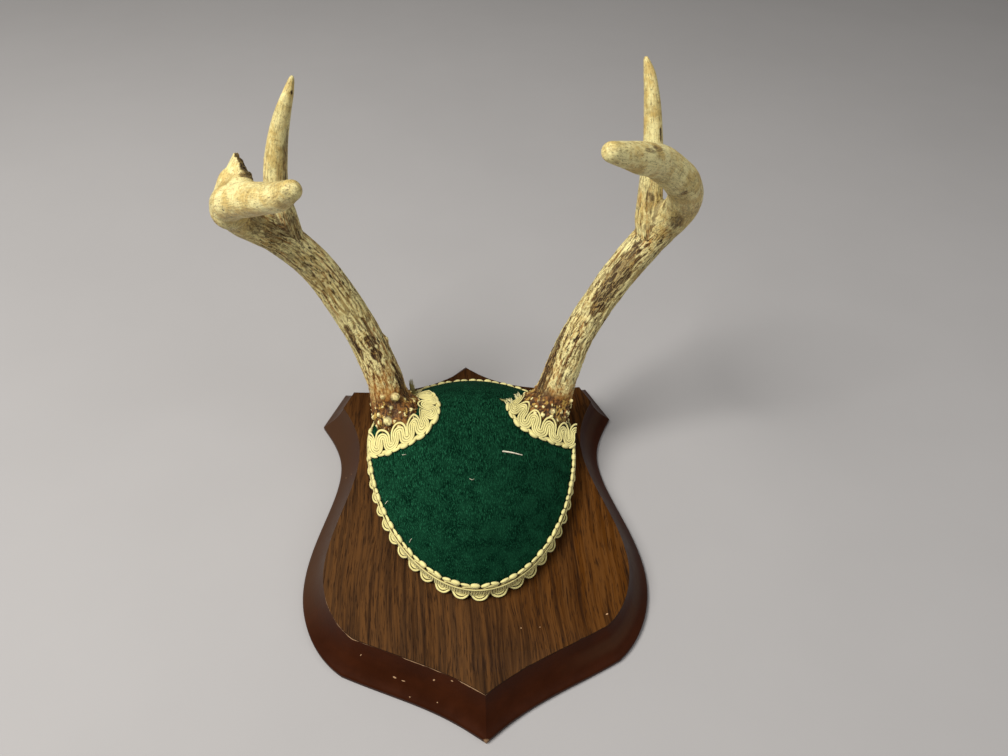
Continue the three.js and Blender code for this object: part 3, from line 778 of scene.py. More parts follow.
def walnut_material(settings):
    """Printed walnut grain along Y: bands, fine streaks, short dark pores and a faint knot, with painted
    reflection greying the left and painted shade darkening the top end.
    """
    material, tree, shader = new_material("walnut_sheet", Specular_IOR_Level=0.07)
    place = object_place(tree)
    knot = (13 * MM, -85 * MM, 0)
    offset = vector_maths("SUBTRACT", place, knot)
    squeeze = vector_maths("MULTIPLY", offset, (1.0, 0.36, 0.0))
    distance = add(tree, "ShaderNodeVectorMath", {0: squeeze}, operation="LENGTH").outputs["Value"]
    near = between(distance, 0.009, 0.0012)
    x, y, z = axes(tree, place)
    sway = noise(tree, vector_maths("MULTIPLY", place, (6.0, 9.0, 1.0)), 1.0, 2.0)
    sway = times(minus(sway, 0.5), 0.012)
    side = maths("SIGN", axes(tree, offset)[0])
    push = times(times(near, side), -0.0022)
    bent = plus(plus(x, sway), push)
    grain = add(tree, "ShaderNodeCombineXYZ", {0: bent, 1: z, 2: y}).outputs[0]
    ramp = add(tree, "ShaderNodeValToRGB", {0: plus(maths("DIVIDE", bent, GRAIN_WIDTH * MM), 0.5)})
    ramp.color_ramp.interpolation = "B_SPLINE"
    stops = ramp.color_ramp.elements
    while len(stops) < len(GRAIN_BANDS):
        stops.new(0.5)
    for stop, (x_mm, darkness) in zip(stops, GRAIN_BANDS):
        stop.position = x_mm / GRAIN_WIDTH + 0.5
        stop.color = (darkness, darkness, darkness, 1)
    band = ramp.outputs[0]
    loose = streaks(grain, 7.0, 150.0, 0.36, 0.66)
    fine = streaks(grain, 1.5, 42.0, 0.36, 0.64)
    line = streaks(grain, 2.6, 70.0, 0.5, 0.64, detail=4.0)
    pores = streaks(grain, 0.7, 9.0, 0.52, 0.66, detail=2.0)
    # Painted reflection: the sheet turns greyer and bluer towards the left, where the lamps' sheen falls,
    # and stays orange towards the right.
    slope = times(plus(y, 0.04), 0.7)
    warm = between(plus(plus(x, slope), sway), -0.035, 0.03)
    sheen_grey = tuple(c * s for c, s in zip(settings.walnut, (1.0, 1.12, 1.6)))
    orange = tuple(c * s for c, s in zip(settings.walnut, (1.02, 0.8, 0.22)))
    tone = mix(warm, sheen_grey, orange)
    tone = mix(times(band, 0.7), tone, settings.pore)
    tone = mix(times(loose, 0.4), tone, settings.pore)
    tone = mix(times(fine, 0.42), tone, shaded(settings.walnut, 2.0))
    tone = mix(times(line, 0.62), tone, shaded(settings.pore, 0.8))
    tone = mix(times(pores, 0.7), tone, shaded(settings.pore, 0.5))
    tone = mix(times(near, 0.25), tone, settings.pore)
    # Painted shade: the top end of the sheet darker, where less light falls.
    top_end_shade = times(between(y, 0.045, 0.09), 0.4)
    tone = mix(top_end_shade, tone, settings.pore)
    tone = mix(marks(tree, place, FACE_SPECKS), tone, shaded(settings.worn, 1.6))
    side_wall = between(z, BOARD_TOP * MM - 0.00004, BOARD_TOP * MM - 0.00014)
    tone = mix(side_wall, tone, shaded(settings.pore, 1.6))
    tree.links.new(tone, shader.inputs["Base Color"])
    rough = plus(0.46, times(pores, 0.12))
    tree.links.new(rough, shader.inputs["Roughness"])
    height = minus(times(fine, 0.25), pores)
    bump(tree, shader, height, 0.12, 0.00025)
    return material


class PLAQUE_OT_board(bpy.types.Operator):
    """Build the shield board's moulded body"""

    bl_idname = "plaque.board"
    bl_label = "Board"

    def execute(self, context):
        settings = context.scene.plaque_board
        face = outline(FACE_START, FACE_CURVES, settings.outline_step / MM)
        profile = edge_profile(settings.edge_width / MM)
        rings = [at_height(outset(face, np.full(len(face), reach)), z) for reach, z in profile]
        board = new_object("board_body", *loft(rings))
        cut_away(board, back_cutters())
        smooth(board, 28)
        finish_piece(board, paint_material(settings), ["board_core"])
        return {"FINISHED"}


class PLAQUE_OT_face(bpy.types.Operator):
    """Build the walnut-grain sheet on the board's front"""

    bl_idname = "plaque.face"
    bl_label = "Grain sheet"

    def execute(self, context):
        settings = context.scene.plaque_board
        face = outline(FACE_START, FACE_CURVES, 0.4)
        chips = self.chip_depths(face, settings.chip_depth / MM)
        rings = [
            at_height(face, FACE_LOW),
            at_height(outset(face, -0.6 * chips), BOARD_TOP - 0.12),
            at_height(outset(face, -0.1 - chips), BOARD_TOP),
        ]
        sheet = new_object("grain_sheet", *loft(rings))
        finish_piece(sheet, walnut_material(settings), ["board_face"])
        return {"FINISHED"}

    def chip_depths(self, face, deepest):
        """Ragged chips, mostly in the lower right edge, with shallow ones all round."""
        place = at_height(face, 0)
        ragged = smooth_step(0.1, 0.45, lattice_noise(place / 4.5, 3))
        fine = 0.6 + 0.8 * lattice_noise(place / 0.9, 4)
        damaged = smooth_step(4, 22, face[:, 0]) * smooth_step(-56, -70, face[:, 1])
        return np.clip(deepest * ragged * fine * (0.12 + 0.88 * damaged), 0, deepest)


# ---- Felt --------------------------------------------------------------------------------------


def plate_reach(angles):
    """Distance from the dome's centre to the plate's outline in each direction."""
    points = outline(PLATE_START, PLATE_CURVES, 1.0) - DOME_CENTRE
    around = np.arctan2(points[:, 1], points[:, 0])
    order = np.argsort(around)
    reach = np.linalg.norm(points, axis=1)
    return np.interp(angles, around[order], reach[order], period=2 * math.pi)


def dome_height(x, y):
    """Height of the felt's surface, level with the wall's top outside the plate."""
    x, y = x - DOME_CENTRE[0], y - DOME_CENTRE[1]
    share = np.hypot(x, y) / plate_reach(np.arctan2(y, x))
    return WALL_TOP + DOME_RISE * (1 - np.clip(share, 0, 1) ** DOME_POWER)


def felt_material(settings):
    """Matted wool: short fibres lying in every direction over mottled dark green, with painted sheen where
    more fibres show towards the top and the left.
    """
    material, tree, shader = new_material(
        "green_felt", Roughness=0.95, Sheen_Weight=0.05, Sheen_Roughness=0.5,
        Sheen_Tint=(*srgb(90, 150, 120), 1), Specular_IOR_Level=0.02,
    )
    place = object_place(tree)
    fibres = 0.0
    for turn in (0.35, 1.25, 2.1, 2.85):
        inputs = {"Vector": place, "Rotation": (math.pi / 2, 0, turn)}
        turned = add(tree, "ShaderNodeMapping", inputs).outputs[0]
        layer = streaks(turned, 0.5, 2.6, 0.54, 0.7, detail=2.0)
        fibres = maths("MAXIMUM", fibres, layer)
    cloudy = mottle(place, 7.0, 0.36, 0.64)
    broad = mottle(place, 50.0, 0.3, 0.7)
    middle = tuple(a * 0.72 + b * 0.28 for a, b in zip(settings.dark, settings.light))
    tone = mix(times(cloudy, 0.7), settings.dark, middle)
    x, y, _ = axes(tree, place)
    # Painted sheen: the light fibres show more towards the top and the left, where the light catches the
    # felt, and less to the right and front.
    facing = between(minus(y, times(x, 0.6)), -0.055, 0.03)
    sheen_share = plus(0.42, times(facing, 0.45))
    tone = mix(times(fibres, sheen_share), tone, settings.light)
    tone = mix(times(broad, 0.35), tone, settings.dark)
    lint = use_group(tree, shared("specks"), Vector=place, Spacing=13.0, Radius=0.22, Share=0.35)
    tone = mix(times(lint, 0.5), tone, srgb(170, 176, 150))
    tree.links.new(tone, shader.inputs["Base Color"])
    fuzz = noise(tree, place, 1500.0, 3.0, 0.7)
    height = plus(times(fibres, 0.7), times(fuzz, 0.5))
    bump(tree, shader, height, 0.8, 0.0005)
    return material


FELT_GAP = 0.15  # between the felt's edge and the board
WALL_ROUND = 0.4  # how far under the wall's top the felt starts to turn over
WALL_RINGS = 10
CROWN_REACH = 60  # from the plate's edge to the dome's centre


class PLAQUE_OT_felt(bpy.types.Operator):
    """Build the felt stretched over the skull plate"""

    bl_idname = "plaque.felt"
    bl_label = "Felt"

    def execute(self, context):
        settings = context.scene.plaque_felt
        step = settings.step / MM
        edge = outline(PLATE_START, PLATE_CURVES, step)
        heights = np.linspace(BOARD_TOP + FELT_GAP, WALL_TOP - WALL_ROUND, WALL_RINGS)
        rings = [at_height(edge, z) for z in heights]
        for share in 1 - np.linspace(0.004, 0.995, int(CROWN_REACH / step)) ** 1.15:
            flat = (edge - DOME_CENTRE) * share + DOME_CENTRE
            rings.append(at_height(flat, WALL_TOP + DOME_RISE * (1 - share**DOME_POWER)))
        vertices, faces = loft(rings, capped=False)
        count = len(edge)
        last = len(vertices) - count
        faces.append(tuple(range(last, last + count)))
        lumps = lattice_noise(vertices / 17, 11) * 0.35 + lattice_noise(vertices / 5, 12) * 0.12
        vertices[:, 2] += lumps * smooth_step(WALL_TOP - 1, WALL_TOP + 6, vertices[:, 2]) - 0.1
        felt = new_object("felt_cover", vertices, faces, 180)
        shell = felt.modifiers.new("thickness", "SOLIDIFY")
        shell.thickness = settings.thickness
        shell.offset = -1
        settle(felt)
        smooth(felt, 70)
        finish_piece(felt, felt_material(settings), ["skull_plate"])
        return {"FINISHED"}


# ---- Braid -------------------------------------------------------------------------------------


def braid_tree():
    """Geometry nodes that lay a meander of cords with a beaded edge along a ribbon-shaped bed.

    The bed's points carry place (0 to 1 along, 0 to 1 across) and out (its outward normal).
    The braid is made flat, X along, Y across and Z out, and is then bent onto the bed."""
    tree = bpy.data.node_groups.new("Gimp braid", "GeometryNodeTree")
    floats = ["Length", "Pitch", "Width", "Cord", "Looseness"]
    floats += ["Stay Place", "Stay Height", "Stay Radius", "Seed"]
    new_socket = tree.interface.new_socket
    new_socket(name="Bed", in_out="INPUT", socket_type="NodeSocketGeometry")
    for name in floats:
        new_socket(name=name, in_out="INPUT", socket_type="NodeSocketFloat")
    new_socket(name="Cords", in_out="INPUT", socket_type="NodeSocketInt")
    new_socket(name="Material", in_out="INPUT", socket_type="NodeSocketMaterial")
    new_socket(name="Braid", in_out="OUTPUT", socket_type="NodeSocketGeometry")
    source = tree.nodes.new("NodeGroupInput").outputs
    turns = maths("ROUND", maths("DIVIDE", source["Length"], source["Pitch"]))
    pitch = maths("DIVIDE", source["Length"], turns)
    cords = meander_cords(tree, source, turns, pitch)
    beads = edge_beads(tree, source, turns, pitch)
    core = edge_cord(tree, source, turns)
    joined = add(tree, "GeometryNodeJoinGeometry")
    for part in (beads, core, cords):
        tree.links.new(part, joined.inputs[0])
    bent = bend_to_bed(tree, source, joined.outputs[0])
    smooth_shade = add(tree, "GeometryNodeSetShadeSmooth", {"Geometry": bent}).outputs[0]
    real = add(tree, "GeometryNodeRealizeInstances", {0: smooth_shade}).outputs[0]
    inputs = {"Geometry": real, "Material": source["Material"]}
    finished = add(tree, "GeometryNodeSetMaterial", inputs).outputs[0]
    sink = tree.nodes.new("NodeGroupOutput")
    tree.links.new(finished, sink.inputs[0])
    return tree


POINTS_PER_TURN = 44
CORD_SIDES = 8
BEAD_ROOM = 0.0004  # how much of the braid's width the beads take from the cords


def meander_cords(tree, source, turns, pitch):
    """Parallel cords that swing from the beaded edge to the scallops and back.

    Their middle line is made of straight legs joined by half circles, crests at whole turns."""
    line = add(tree, "GeometryNodeCurvePrimitiveLine", {"End": (1, 0, 0)}).outputs[0]
    count = times(turns, POINTS_PER_TURN)
    fine = add(tree, "GeometryNodeResampleCurve", {"Curve": line, "Count": count}).outputs[0]
    inputs = {"Geometry": fine, "Amount": source["Cords"]}
    copies = add(tree, "GeometryNodeDuplicateElements", inputs, domain="SPLINE")
    index = copies.outputs["Duplicate Index"]
    along = add(tree, "GeometryNodeSplineParameter").outputs["Factor"]
    turn = times(along, turns)

    middle = times(minus(source["Cords"], 1.0), 0.5)
    aside = times(minus(index, middle), source["Cord"])
    bundle = times(source["Cord"], times(source["Cords"], 0.5))
    swing = minus(times(source["Width"], 0.5), bundle)
    swing = minus(swing, BEAD_ROOM / 2)
    bend = times(pitch, 0.25)
    leg = minus(swing, bend)
    quarter = plus(times(bend, math.pi / 2), leg)
    crest = maths("ROUND", turn)
    past = minus(turn, crest)
    side = maths("SIGN", past)
    away = maths("ABSOLUTE", past)
    low = maths("GREATER_THAN", away, 0.25)
    flip = minus(1.0, times(low, 2.0))
    apex = maths("MINIMUM", away, minus(0.5, away))
    travel = times(apex, times(quarter, 4.0))
    angle = maths("MINIMUM", maths("DIVIDE", travel, bend), math.pi / 2)
    straight = minus(travel, times(bend, math.pi / 2))
    straight = maths("MAXIMUM", straight, 0.0)
    sine = maths("SINE", angle)
    cosine = maths("COSINE", angle)
    centre = plus(crest, times(times(low, side), 0.5))
    reach = times(times(bend, sine), times(side, flip))
    run = plus(times(centre, pitch), reach)
    rise = minus(plus(leg, times(bend, cosine)), straight)
    rise = plus(times(rise, flip), BEAD_ROOM / 2)
    normal = add(tree, "ShaderNodeCombineXYZ", {0: times(side, sine), 1: cosine}).outputs[0]
    shift = add(tree, "ShaderNodeVectorMath", {0: normal, 3: aside}, operation="SCALE").outputs[0]

    wave = maths("COSINE", times(turn, 2 * math.pi))
    high = maths("POWER", maths("MAXIMUM", wave, 0.0), 3.0)
    outermost = maths("GREATER_THAN", index, minus(source["Cords"], 1.5))
    loop = times(times(high, outermost), source["Looseness"])
    trough = maths("POWER", maths("MAXIMUM", times(wave, -1.0), 0.0), 2.0)
    trough = times(trough, maths("LESS_THAN", index, 0.5))
    raised = times(times(high, outermost), 0.3)
    raised = plus(raised, times(trough, 0.3))
    lift = times(source["Cord"], plus(0.55, raised))
    place = add(tree, "ShaderNodeCombineXYZ", {0: run, 1: plus(rise, loop), 2: lift})
    place = vector_maths("ADD", place.outputs[0], shift)
    for size, own in (((0.0011, 0.0006, 0.0003), 0.0), ((0.00022, 0.00022, 0.0003), 7.0)):
        key = {0: times(turn, 1.9 + own * 0.3), 1: times(index, own)}
        key[2] = plus(source["Seed"], own)
        inputs = {"Vector": add(tree, "ShaderNodeCombineXYZ", key).outputs[0], "Scale": 1.3, "Detail": 1.0}
        uneven = add(tree, "ShaderNodeTexNoise", inputs).outputs["Color"]
        uneven = vector_maths("SUBTRACT", uneven, (0.5, 0.5, 0.5))
        uneven = vector_maths("MULTIPLY", uneven, tuple(2 * v for v in size))
        place = vector_maths("ADD", place, uneven)
    inputs = {"Geometry": copies.outputs["Geometry"], "Position": place}
    laid = add(tree, "GeometryNodeSetPosition", inputs).outputs[0]
    length_so_far = add(tree, "GeometryNodeSplineParameter").outputs["Length"]
    return corded(tree, laid, times(source["Cord"], 0.5), length_so_far)


def corded(tree, curve, radius, run):
    """A round cord along a curve. Its points carry cord_run, and crown: 1 on top, -1 beneath."""
    height = axes(tree, position(tree))[2]
    curve = stored(tree, curve, "cord_run", run)
    curve = stored(tree, curve, "cord_height", height)
    section = add(tree, "GeometryNodeCurvePrimitiveCircle", {"Resolution": CORD_SIDES, "Radius": radius})
    inputs = {"Curve": curve, "Profile Curve": section.outputs[0], "Fill Caps": True}
    mesh = add(tree, "GeometryNodeCurveToMesh", inputs).outputs[0]
    inputs = {"Name": "cord_height"}
    middle = add(tree, "GeometryNodeInputNamedAttribute", inputs, data_type="FLOAT").outputs[0]
    crown = maths("DIVIDE", minus(height, middle), radius)
    return stored(tree, mesh, "crown", crown)


def stored(tree, geometry, name, value):
    """Geometry with a number stored on its points."""
    inputs = {"Geometry": geometry, "Name": name, "Value": value}
    kind = "GeometryNodeStoreNamedAttribute"
    return add(tree, kind, data_type="FLOAT", domain="POINT", inputs=inputs).outputs[0]


BEAD_GIRTH = 1.2  # half the thickness of the large beads, in millimetres
BEAD_LENGTH = 2.45  # half the length of every bead


def edge_beads(tree, source, turns, pitch):
    """A row of long wrapped beads, large and small in turn, along the braid's straight edge."""
    count = times(turns, 2.0)
    step = times(pitch, 0.5)
    low = minus(BEAD_ROOM, times(source["Width"], 0.5))
    start = add(tree, "ShaderNodeCombineXYZ", {0: times(step, 0.5), 1: low, 2: 0.0008})
    inputs = {"Count": count, "Start Location": start.outputs[0]}
    inputs["Offset"] = add(tree, "ShaderNodeCombineXYZ", {0: step}).outputs[0]
    spots = add(tree, "GeometryNodeMeshLine", inputs).outputs[0]
    bead = add(tree, "GeometryNodeMeshIcoSphere", {"Radius": 0.001, "Subdivisions": 2}).outputs[0]
    bead = stored(tree, bead, "crown", 0.75)
    number = add(tree, "GeometryNodeInputIndex").outputs[0]
    odd = maths("MODULO", number, 2.0)
    inputs = {"Vector": add(tree, "ShaderNodeCombineXYZ", {0: number, 1: source["Seed"]}).outputs[0]}
    chance = add(tree, "ShaderNodeTexWhiteNoise", inputs).outputs["Value"]
    girth = minus(BEAD_GIRTH, times(odd, 0.35))
    girth = times(girth, plus(0.8, times(chance, 0.35)))
    scale = add(tree, "ShaderNodeCombineXYZ", {0: BEAD_LENGTH, 1: girth, 2: girth})
    tilt = times(minus(chance, 0.5), 0.5)
    tilt = plus(tilt, times(minus(odd, 0.5), 0.3))
    inputs = {"Points": spots, "Instance": bead, "Scale": scale.outputs[0]}
    inputs["Rotation"] = add(tree, "ShaderNodeCombineXYZ", {2: tilt}).outputs[0]
    row = add(tree, "GeometryNodeInstanceOnPoints", inputs).outputs[0]
    return add(tree, "GeometryNodeRealizeInstances", {0: row}).outputs[0]


def edge_cord(tree, source, turns):
    """The straight cord that holds the meander beside the beads."""
    start = add(tree, "ShaderNodeCombineXYZ", {1: source["Stay Place"], 2: source["Stay Height"]})
    end = vector_maths("ADD", start.outputs[0], (1.0, 0.0, 0.0))
    inputs = {"Start": start.outputs[0], "End": end}
    line = add(tree, "GeometryNodeCurvePrimitiveLine", inputs).outputs[0]
    count = times(turns, 10.0)
    fine = add(tree, "GeometryNodeResampleCurve", {"Curve": line, "Count": count}).outputs[0]
    stretch = add(tree, "ShaderNodeCombineXYZ", {0: source["Length"], 1: 1.0, 2: 1.0}).outputs[0]
    place = vector_maths("MULTIPLY", position(tree), stretch)
    laid = add(tree, "GeometryNodeSetPosition", {"Geometry": fine, "Position": place}).outputs[0]
    length_so_far = add(tree, "GeometryNodeSplineParameter").outputs["Length"]
    return corded(tree, laid, source["Stay Radius"], length_so_far)


BED_MARGIN = 2.0  # how far the bed goes past the braid on each side


def bend_to_bed(tree, source, flat):
    """Bends flat work onto the bed, whose points carry place and out."""
    x, y, z = axes(tree, position(tree))
    u = maths("DIVIDE", x, source["Length"])
    bed_width = plus(source["Width"], 2 * BED_MARGIN * MM)
    v = plus(maths("DIVIDE", y, bed_width), 0.5)
    u = add(tree, "ShaderNodeClamp", {0: u, 1: 0.0005, 2: 0.9995}).outputs[0]
    v = add(tree, "ShaderNodeClamp", {0: v, 1: 0.0005, 2: 0.9995}).outputs[0]
    where = add(tree, "ShaderNodeCombineXYZ", {0: u, 1: v}).outputs[0]
    sampled = []
    for value in (position(tree), named_vector(tree, "out")):
        node = add(tree, "GeometryNodeSampleUVSurface", data_type="FLOAT_VECTOR")
        plug(tree, node.inputs["Mesh"], source["Bed"])
        plug(tree, node.inputs["Value"], value)
        plug(tree, node.inputs["UV Map"], named_vector(tree, "place"))
        plug(tree, node.inputs["Sample UV"], where)
        sampled.append(node.outputs[0])
    outward = add(tree, "ShaderNodeVectorMath", {0: sampled[1], 3: z}, operation="SCALE").outputs[0]
    inputs = {"Geometry": flat, "Position": vector_maths("ADD", sampled[0], outward)}
    return add(tree, "GeometryNodeSetPosition", inputs).outputs[0]


def named_vector(tree, name):
    inputs = {"Name": name}
    return add(tree, "GeometryNodeInputNamedAttribute", inputs, data_type="FLOAT_VECTOR").outputs[0]


def braid_material(settings):
    """Cream rayon cords wound with fine thread, with painted shade in the grooves between them and beneath
    them.
    """
    material, tree, shader = new_material(
        "cream_gimp", Roughness=0.6, Sheen_Weight=0.3, Sheen_Roughness=0.4, Specular_IOR_Level=0.3
    )
    place = object_place(tree)
    run = attribute(tree, "cord_run").outputs["Fac"]
    crown = attribute(tree, "crown").outputs["Fac"]
    thread = maths("SINE", times(run, 2 * math.pi / 0.00055))
    cloudy = mottle(place, 9.0, 0.35, 0.7)
    middle = tuple((a + b) / 2 for a, b in zip(settings.cream, settings.shade))
    tone = mix(times(cloudy, 0.35), settings.cream, middle)
    wound = times(plus(thread, 1.0), 0.08)
    tone = mix(wound, tone, settings.shade)
    # Painted shade: the cords darken down their sides into the grooves between them, and darker still
    # beneath.
    groove = between(crown, 0.78, 0.0)
    tone = mix(groove, tone, settings.shade)
    tone = mix(between(crown, 0.05, -0.6), tone, shaded(settings.shade, 0.25))
    tree.links.new(tone, shader.inputs["Base Color"])
    fuzz = noise(tree, place, 2600.0, 2.0)
    height = plus(times(thread, 0.5), fuzz)
    bump(tree, shader, height, 0.35, 0.00012)
    return material


def bed_object(name, grid):
    """A ribbon mesh from a grid of points, with place and out on its points."""
    rows, columns = grid.shape[:2]
    faces = []
    for r in range(rows - 1):
        for c in range(columns - 1):
            a = r * columns + c
            faces.append((a, a + columns, a + columns + 1, a + 1))
    bed = new_object(name, grid.reshape(-1, 3), faces, 180)
    u, v = np.meshgrid(np.linspace(0, 1, rows), np.linspace(0, 1, columns), indexing="ij")
    set_attribute(bed, "place", np.column_stack([u.ravel(), v.ravel(), np.zeros(u.size)]))
    along = np.gradient(grid, axis=0)
    across = np.gradient(grid, axis=1)
    out = np.cross(along, across)
    out /= np.linalg.norm(out, axis=2)[:, :, None]
    set_attribute(bed, "out", out.reshape(-1, 3))
    return bed


def evenly(points, step):
    """Points at even distances along an open line, and the line's length."""
    runs = np.concatenate([[0], np.cumsum(np.linalg.norm(np.diff(points, axis=0), axis=1))])
    places = np.linspace(0, runs[-1], max(2, int(runs[-1] / step)))
    return np.column_stack([np.interp(places, runs, axis) for axis in points.T]), runs[-1]


def rim_bed(width):
    """The bed of the braid round the wall: beads up at the felt's edge, scallops on the board."""
    edge = outline(PLATE_START, PLATE_CURVES, 0.8)
    top = len(half_outline(PLATE_START, PLATE_CURVES, 0.8)) - 1
    edge = np.vstack([np.roll(edge, -top, 0), edge[top]])[::-1]
    edge, run = evenly(edge, 1.0)
    ahead = np.gradient(edge, axis=0)
    ahead /= np.linalg.norm(ahead, axis=1)[:, None]
    outward = np.column_stack([-ahead[:, 1], ahead[:, 0]])
    sunk = RIM_SUNK * smooth_step(*RIM_SINKS, edge[:, 1])
    drop = np.linspace(-BED_MARGIN, width + BED_MARGIN, 24)
    grid = np.empty((len(edge), len(drop), 3))
    for c, down in enumerate(drop):
        upright = max(0.0, min(down, RIM_BEND))
        spread = max(0.0, down - RIM_BEND)
        lean = min(0.0, down)
        reach = BRAID_GAP + 0.5 * lean + 0.7 * spread
        z = WALL_TOP + 0.3 - upright - 0.72 * spread - 0.5 * lean - sunk
        grid[:, c, :2] = edge + outward * reach
        grid[:, c, 2] = np.maximum(z, BOARD_TOP + 0.1)
    return grid, run


RIM_BEND = 9.6  # how far down the wall the braid starts to turn out onto the board
RIM_SUNK = 1.1  # how much lower the braid lies round the top of the plate
RIM_SINKS = (25, 65)  # between these distances towards the top it sinks that far


def antler_bed(side, width):
    """The bed beside one antler: it leans up from the felt against the burr."""
    stations = np.array(BRAID_LINES[side], float)
    places = np.linspace(0, len(stations) - 1, 200)
    outer = np.array([stem_point(stations[:, :3], place) for place in places])
    inner = np.array([stem_point(stations[:, 3:], place) for place in places])
    both, _ = evenly(np.column_stack([(outer + inner) / 2, outer, inner]), 0.5)
    outer, inner = both[:, 3:6], both[:, 6:]
    shares = np.linspace(-BED_MARGIN / width, 1 + BED_MARGIN / width, 20)
    grid = np.empty((len(both), len(shares), 3))
    for c, share in enumerate(shares):
        grid[:, c] = outer + (inner - outer) * share
        floor = dome_height(grid[:, c, 0], grid[:, c, 1]) + BRAID_GAP
        grid[:, c, 2] = np.maximum(grid[:, c, 2], floor)
    middle = grid[:, len(shares) // 2]
    return grid, np.linalg.norm(np.diff(middle, axis=0), axis=1).sum()


# How far the loops stand off, and the cord along the beads: its place, height and radius.
RIM_LAY = {"Looseness": 0.2, "Stay Place": -3.7, "Stay Height": 1.6, "Stay Radius": 0.6}
ANTLER_LAY = {"Looseness": 0.9, "Stay Place": -4.6, "Stay Height": -0.2, "Stay Radius": 1.1}


class PLAQUE_OT_braids(bpy.types.Operator):
    """Lay the gimp braid round the felt and round each antler"""

    bl_idname = "plaque.braids"
    bl_label = "Gimp braid"

    def execute(self, context):
        settings = context.scene.plaque_braid
        tree = braid_tree()
        material = braid_material(settings)
        width = settings.width / MM
        grid, run = rim_bed(width)
        self.lay(settings, tree, material, "rim", grid, run, 1)
        for seed, side in enumerate(ANTLERS, 2):
            grid, run = antler_bed(side, width)
            self.lay(settings, tree, material, side, grid, run, seed)
        return {"FINISHED"}

    def lay(self, settings, tree, material, name, grid, run, seed):
        braid = bed_object(f"gimp_{name}", grid)
        modifier = braid.modifiers.new("braid", "NODES")
        modifier.node_group = tree
        values = {
            "Length": run * MM,
            "Pitch": settings.pitch,
            "Width": settings.width,
            "Cord": settings.cord,
            "Seed": float(seed),
            "Cords": settings.cords,
            "Material": material,
        }
        for key, value in (RIM_LAY if name == "rim" else ANTLER_LAY).items():
            values[key] = value * MM
        for item in tree.interface.items_tree:
            if item.in_out == "INPUT" and item.name in values:
                modifier[item.identifier] = values[item.name]
        settle(braid)
        if len(braid.data.polygons) < 1000:
            raise RuntimeError(f"the braid {name} came out empty")
        finish_piece(braid, material, [f"braid_{name}"])


# Tufts of cut thread: [root, tip, spread of the roots, spread of the tips, threads, colour].
TUFTS = [
    [(-33, 63, 38), (-34.5, 66, 49), 0.8, 1.1, 46, "olive"],
    [(-32, 64, 37.5), (-29, 66, 42), 1.4, 1.6, 16, "cream"],
    [(21.8, 45, 50.2), (20.8, 47.6, 50.8), 1.8, 0.6, 20, "cream"],
    [(27.5, 50.5, 48.2), (26.6, 53.4, 47.8), 1.8, 0.6, 20, "cream"],
    [(20.5, 46, 50.2), (16.5, 47.2, 51), 0.6, 0.6, 8, "olive"],
]
# Strands of lint: three points along each and its radius.
LINT = [
    [(15.5, 9.9, 49.5), (20.4, 9.6, 48.5), (25.9, 9, 46.9), 0.46],
    [(-3.2, -6.8, 48.2), (-2.1, -7.8, 48.3), (-0.8, -7, 48.2), 0.13],
    [(-39, 15.4, 42.3), (-37.9, 15.8, 42.8), (-37, 15.2, 42.9), 0.2],
    [(-48, -9.5, 32.4), (-47, -8.5, 33.2), (-46.4, -7.8, 32.6), 0.16],
    [(-35, -34, 32.4), (-34.2, -32.5, 33), (-33, -31.5, 32.6), 0.14],
]
THREAD_SIDES = 5
THREAD_SEED = 77


class PLAQUE_OT_threads(bpy.types.Operator):
    """Scatter the frayed ends of the braid and the lint on the felt"""

    bl_idname = "plaque.threads"
    bl_label = "Loose threads"

    def execute(self, context):
        rng = np.random.default_rng(THREAD_SEED)
        groups = {"cream": [], "olive": [], "lint": []}
        for root, tip, low, high, count, shade in TUFTS:
            for _ in range(count):
                start = np.array(root) + rng.uniform(-low, low, 3) * (1, 1, 0.4)
                end = start + (np.array(tip) - root) * rng.uniform(0.6, 1.05) + rng.uniform(-high, high, 3)
                middle = (start + end) / 2 + rng.uniform(-0.5, 0.5, 3)
                groups[shade].append(self.thread((start, middle, end), rng.uniform(0.13, 0.24)))
        for *points, radius in LINT:
            groups["lint"].append(self.thread(points, radius))
        shades = {"cream": srgb(250, 240, 180), "olive": srgb(176, 166, 104), "lint": srgb(244, 234, 206)}
        for name, strands in groups.items():
            obj = new_object(f"threads_{name}", *merged(strands), 60)
            material, tree, shader = new_material(f"thread_{name}", Roughness=0.7)
            shade = mottle(object_place(tree), 2.0)
            tone = mix(shade, shades[name], shaded(shades[name], 0.6))
            tree.links.new(tone, shader.inputs["Base Color"])
            finish_piece(obj, material)
        return {"FINISHED"}

    def thread(self, points, radius):
        stem = [[*point, radius * share] for point, share in zip(points, (1, 0.9, 0.45))]
        return tube(stem_line(stem), sides=THREAD_SIDES)


# ---- Antlers -----------------------------------------------------------------------------------


def stem_point(points, place):
    """A point on the centripetal curve through points, at a place counted in points."""
    low = min(int(place), len(points) - 2)
    t = place - low
    p1, p2 = points[low], points[low + 1]
    p0 = points[low - 1] if low > 0 else 2 * p1 - p2
    p3 = points[low + 2] if low + 2 < len(points) else 2 * p2 - p1
    d0, d1, d2 = (max(np.sum((b - a) ** 2) ** 0.25, 1e-4) for a, b in ((p0, p1), (p1, p2), (p2, p3)))
    t1 = ((p1 - p0) / d0 - (p2 - p0) / (d0 + d1) + (p2 - p1) / d1) * d1
    t2 = ((p2 - p1) / d1 - (p3 - p1) / (d1 + d2) + (p3 - p2) / d2) * d1
    return p1 + t1 * t + (3 * p2 - 3 * p1 - 2 * t1 - t2) * t**2 + (2 * p1 - 2 * p2 + t1 + t2) * t**3


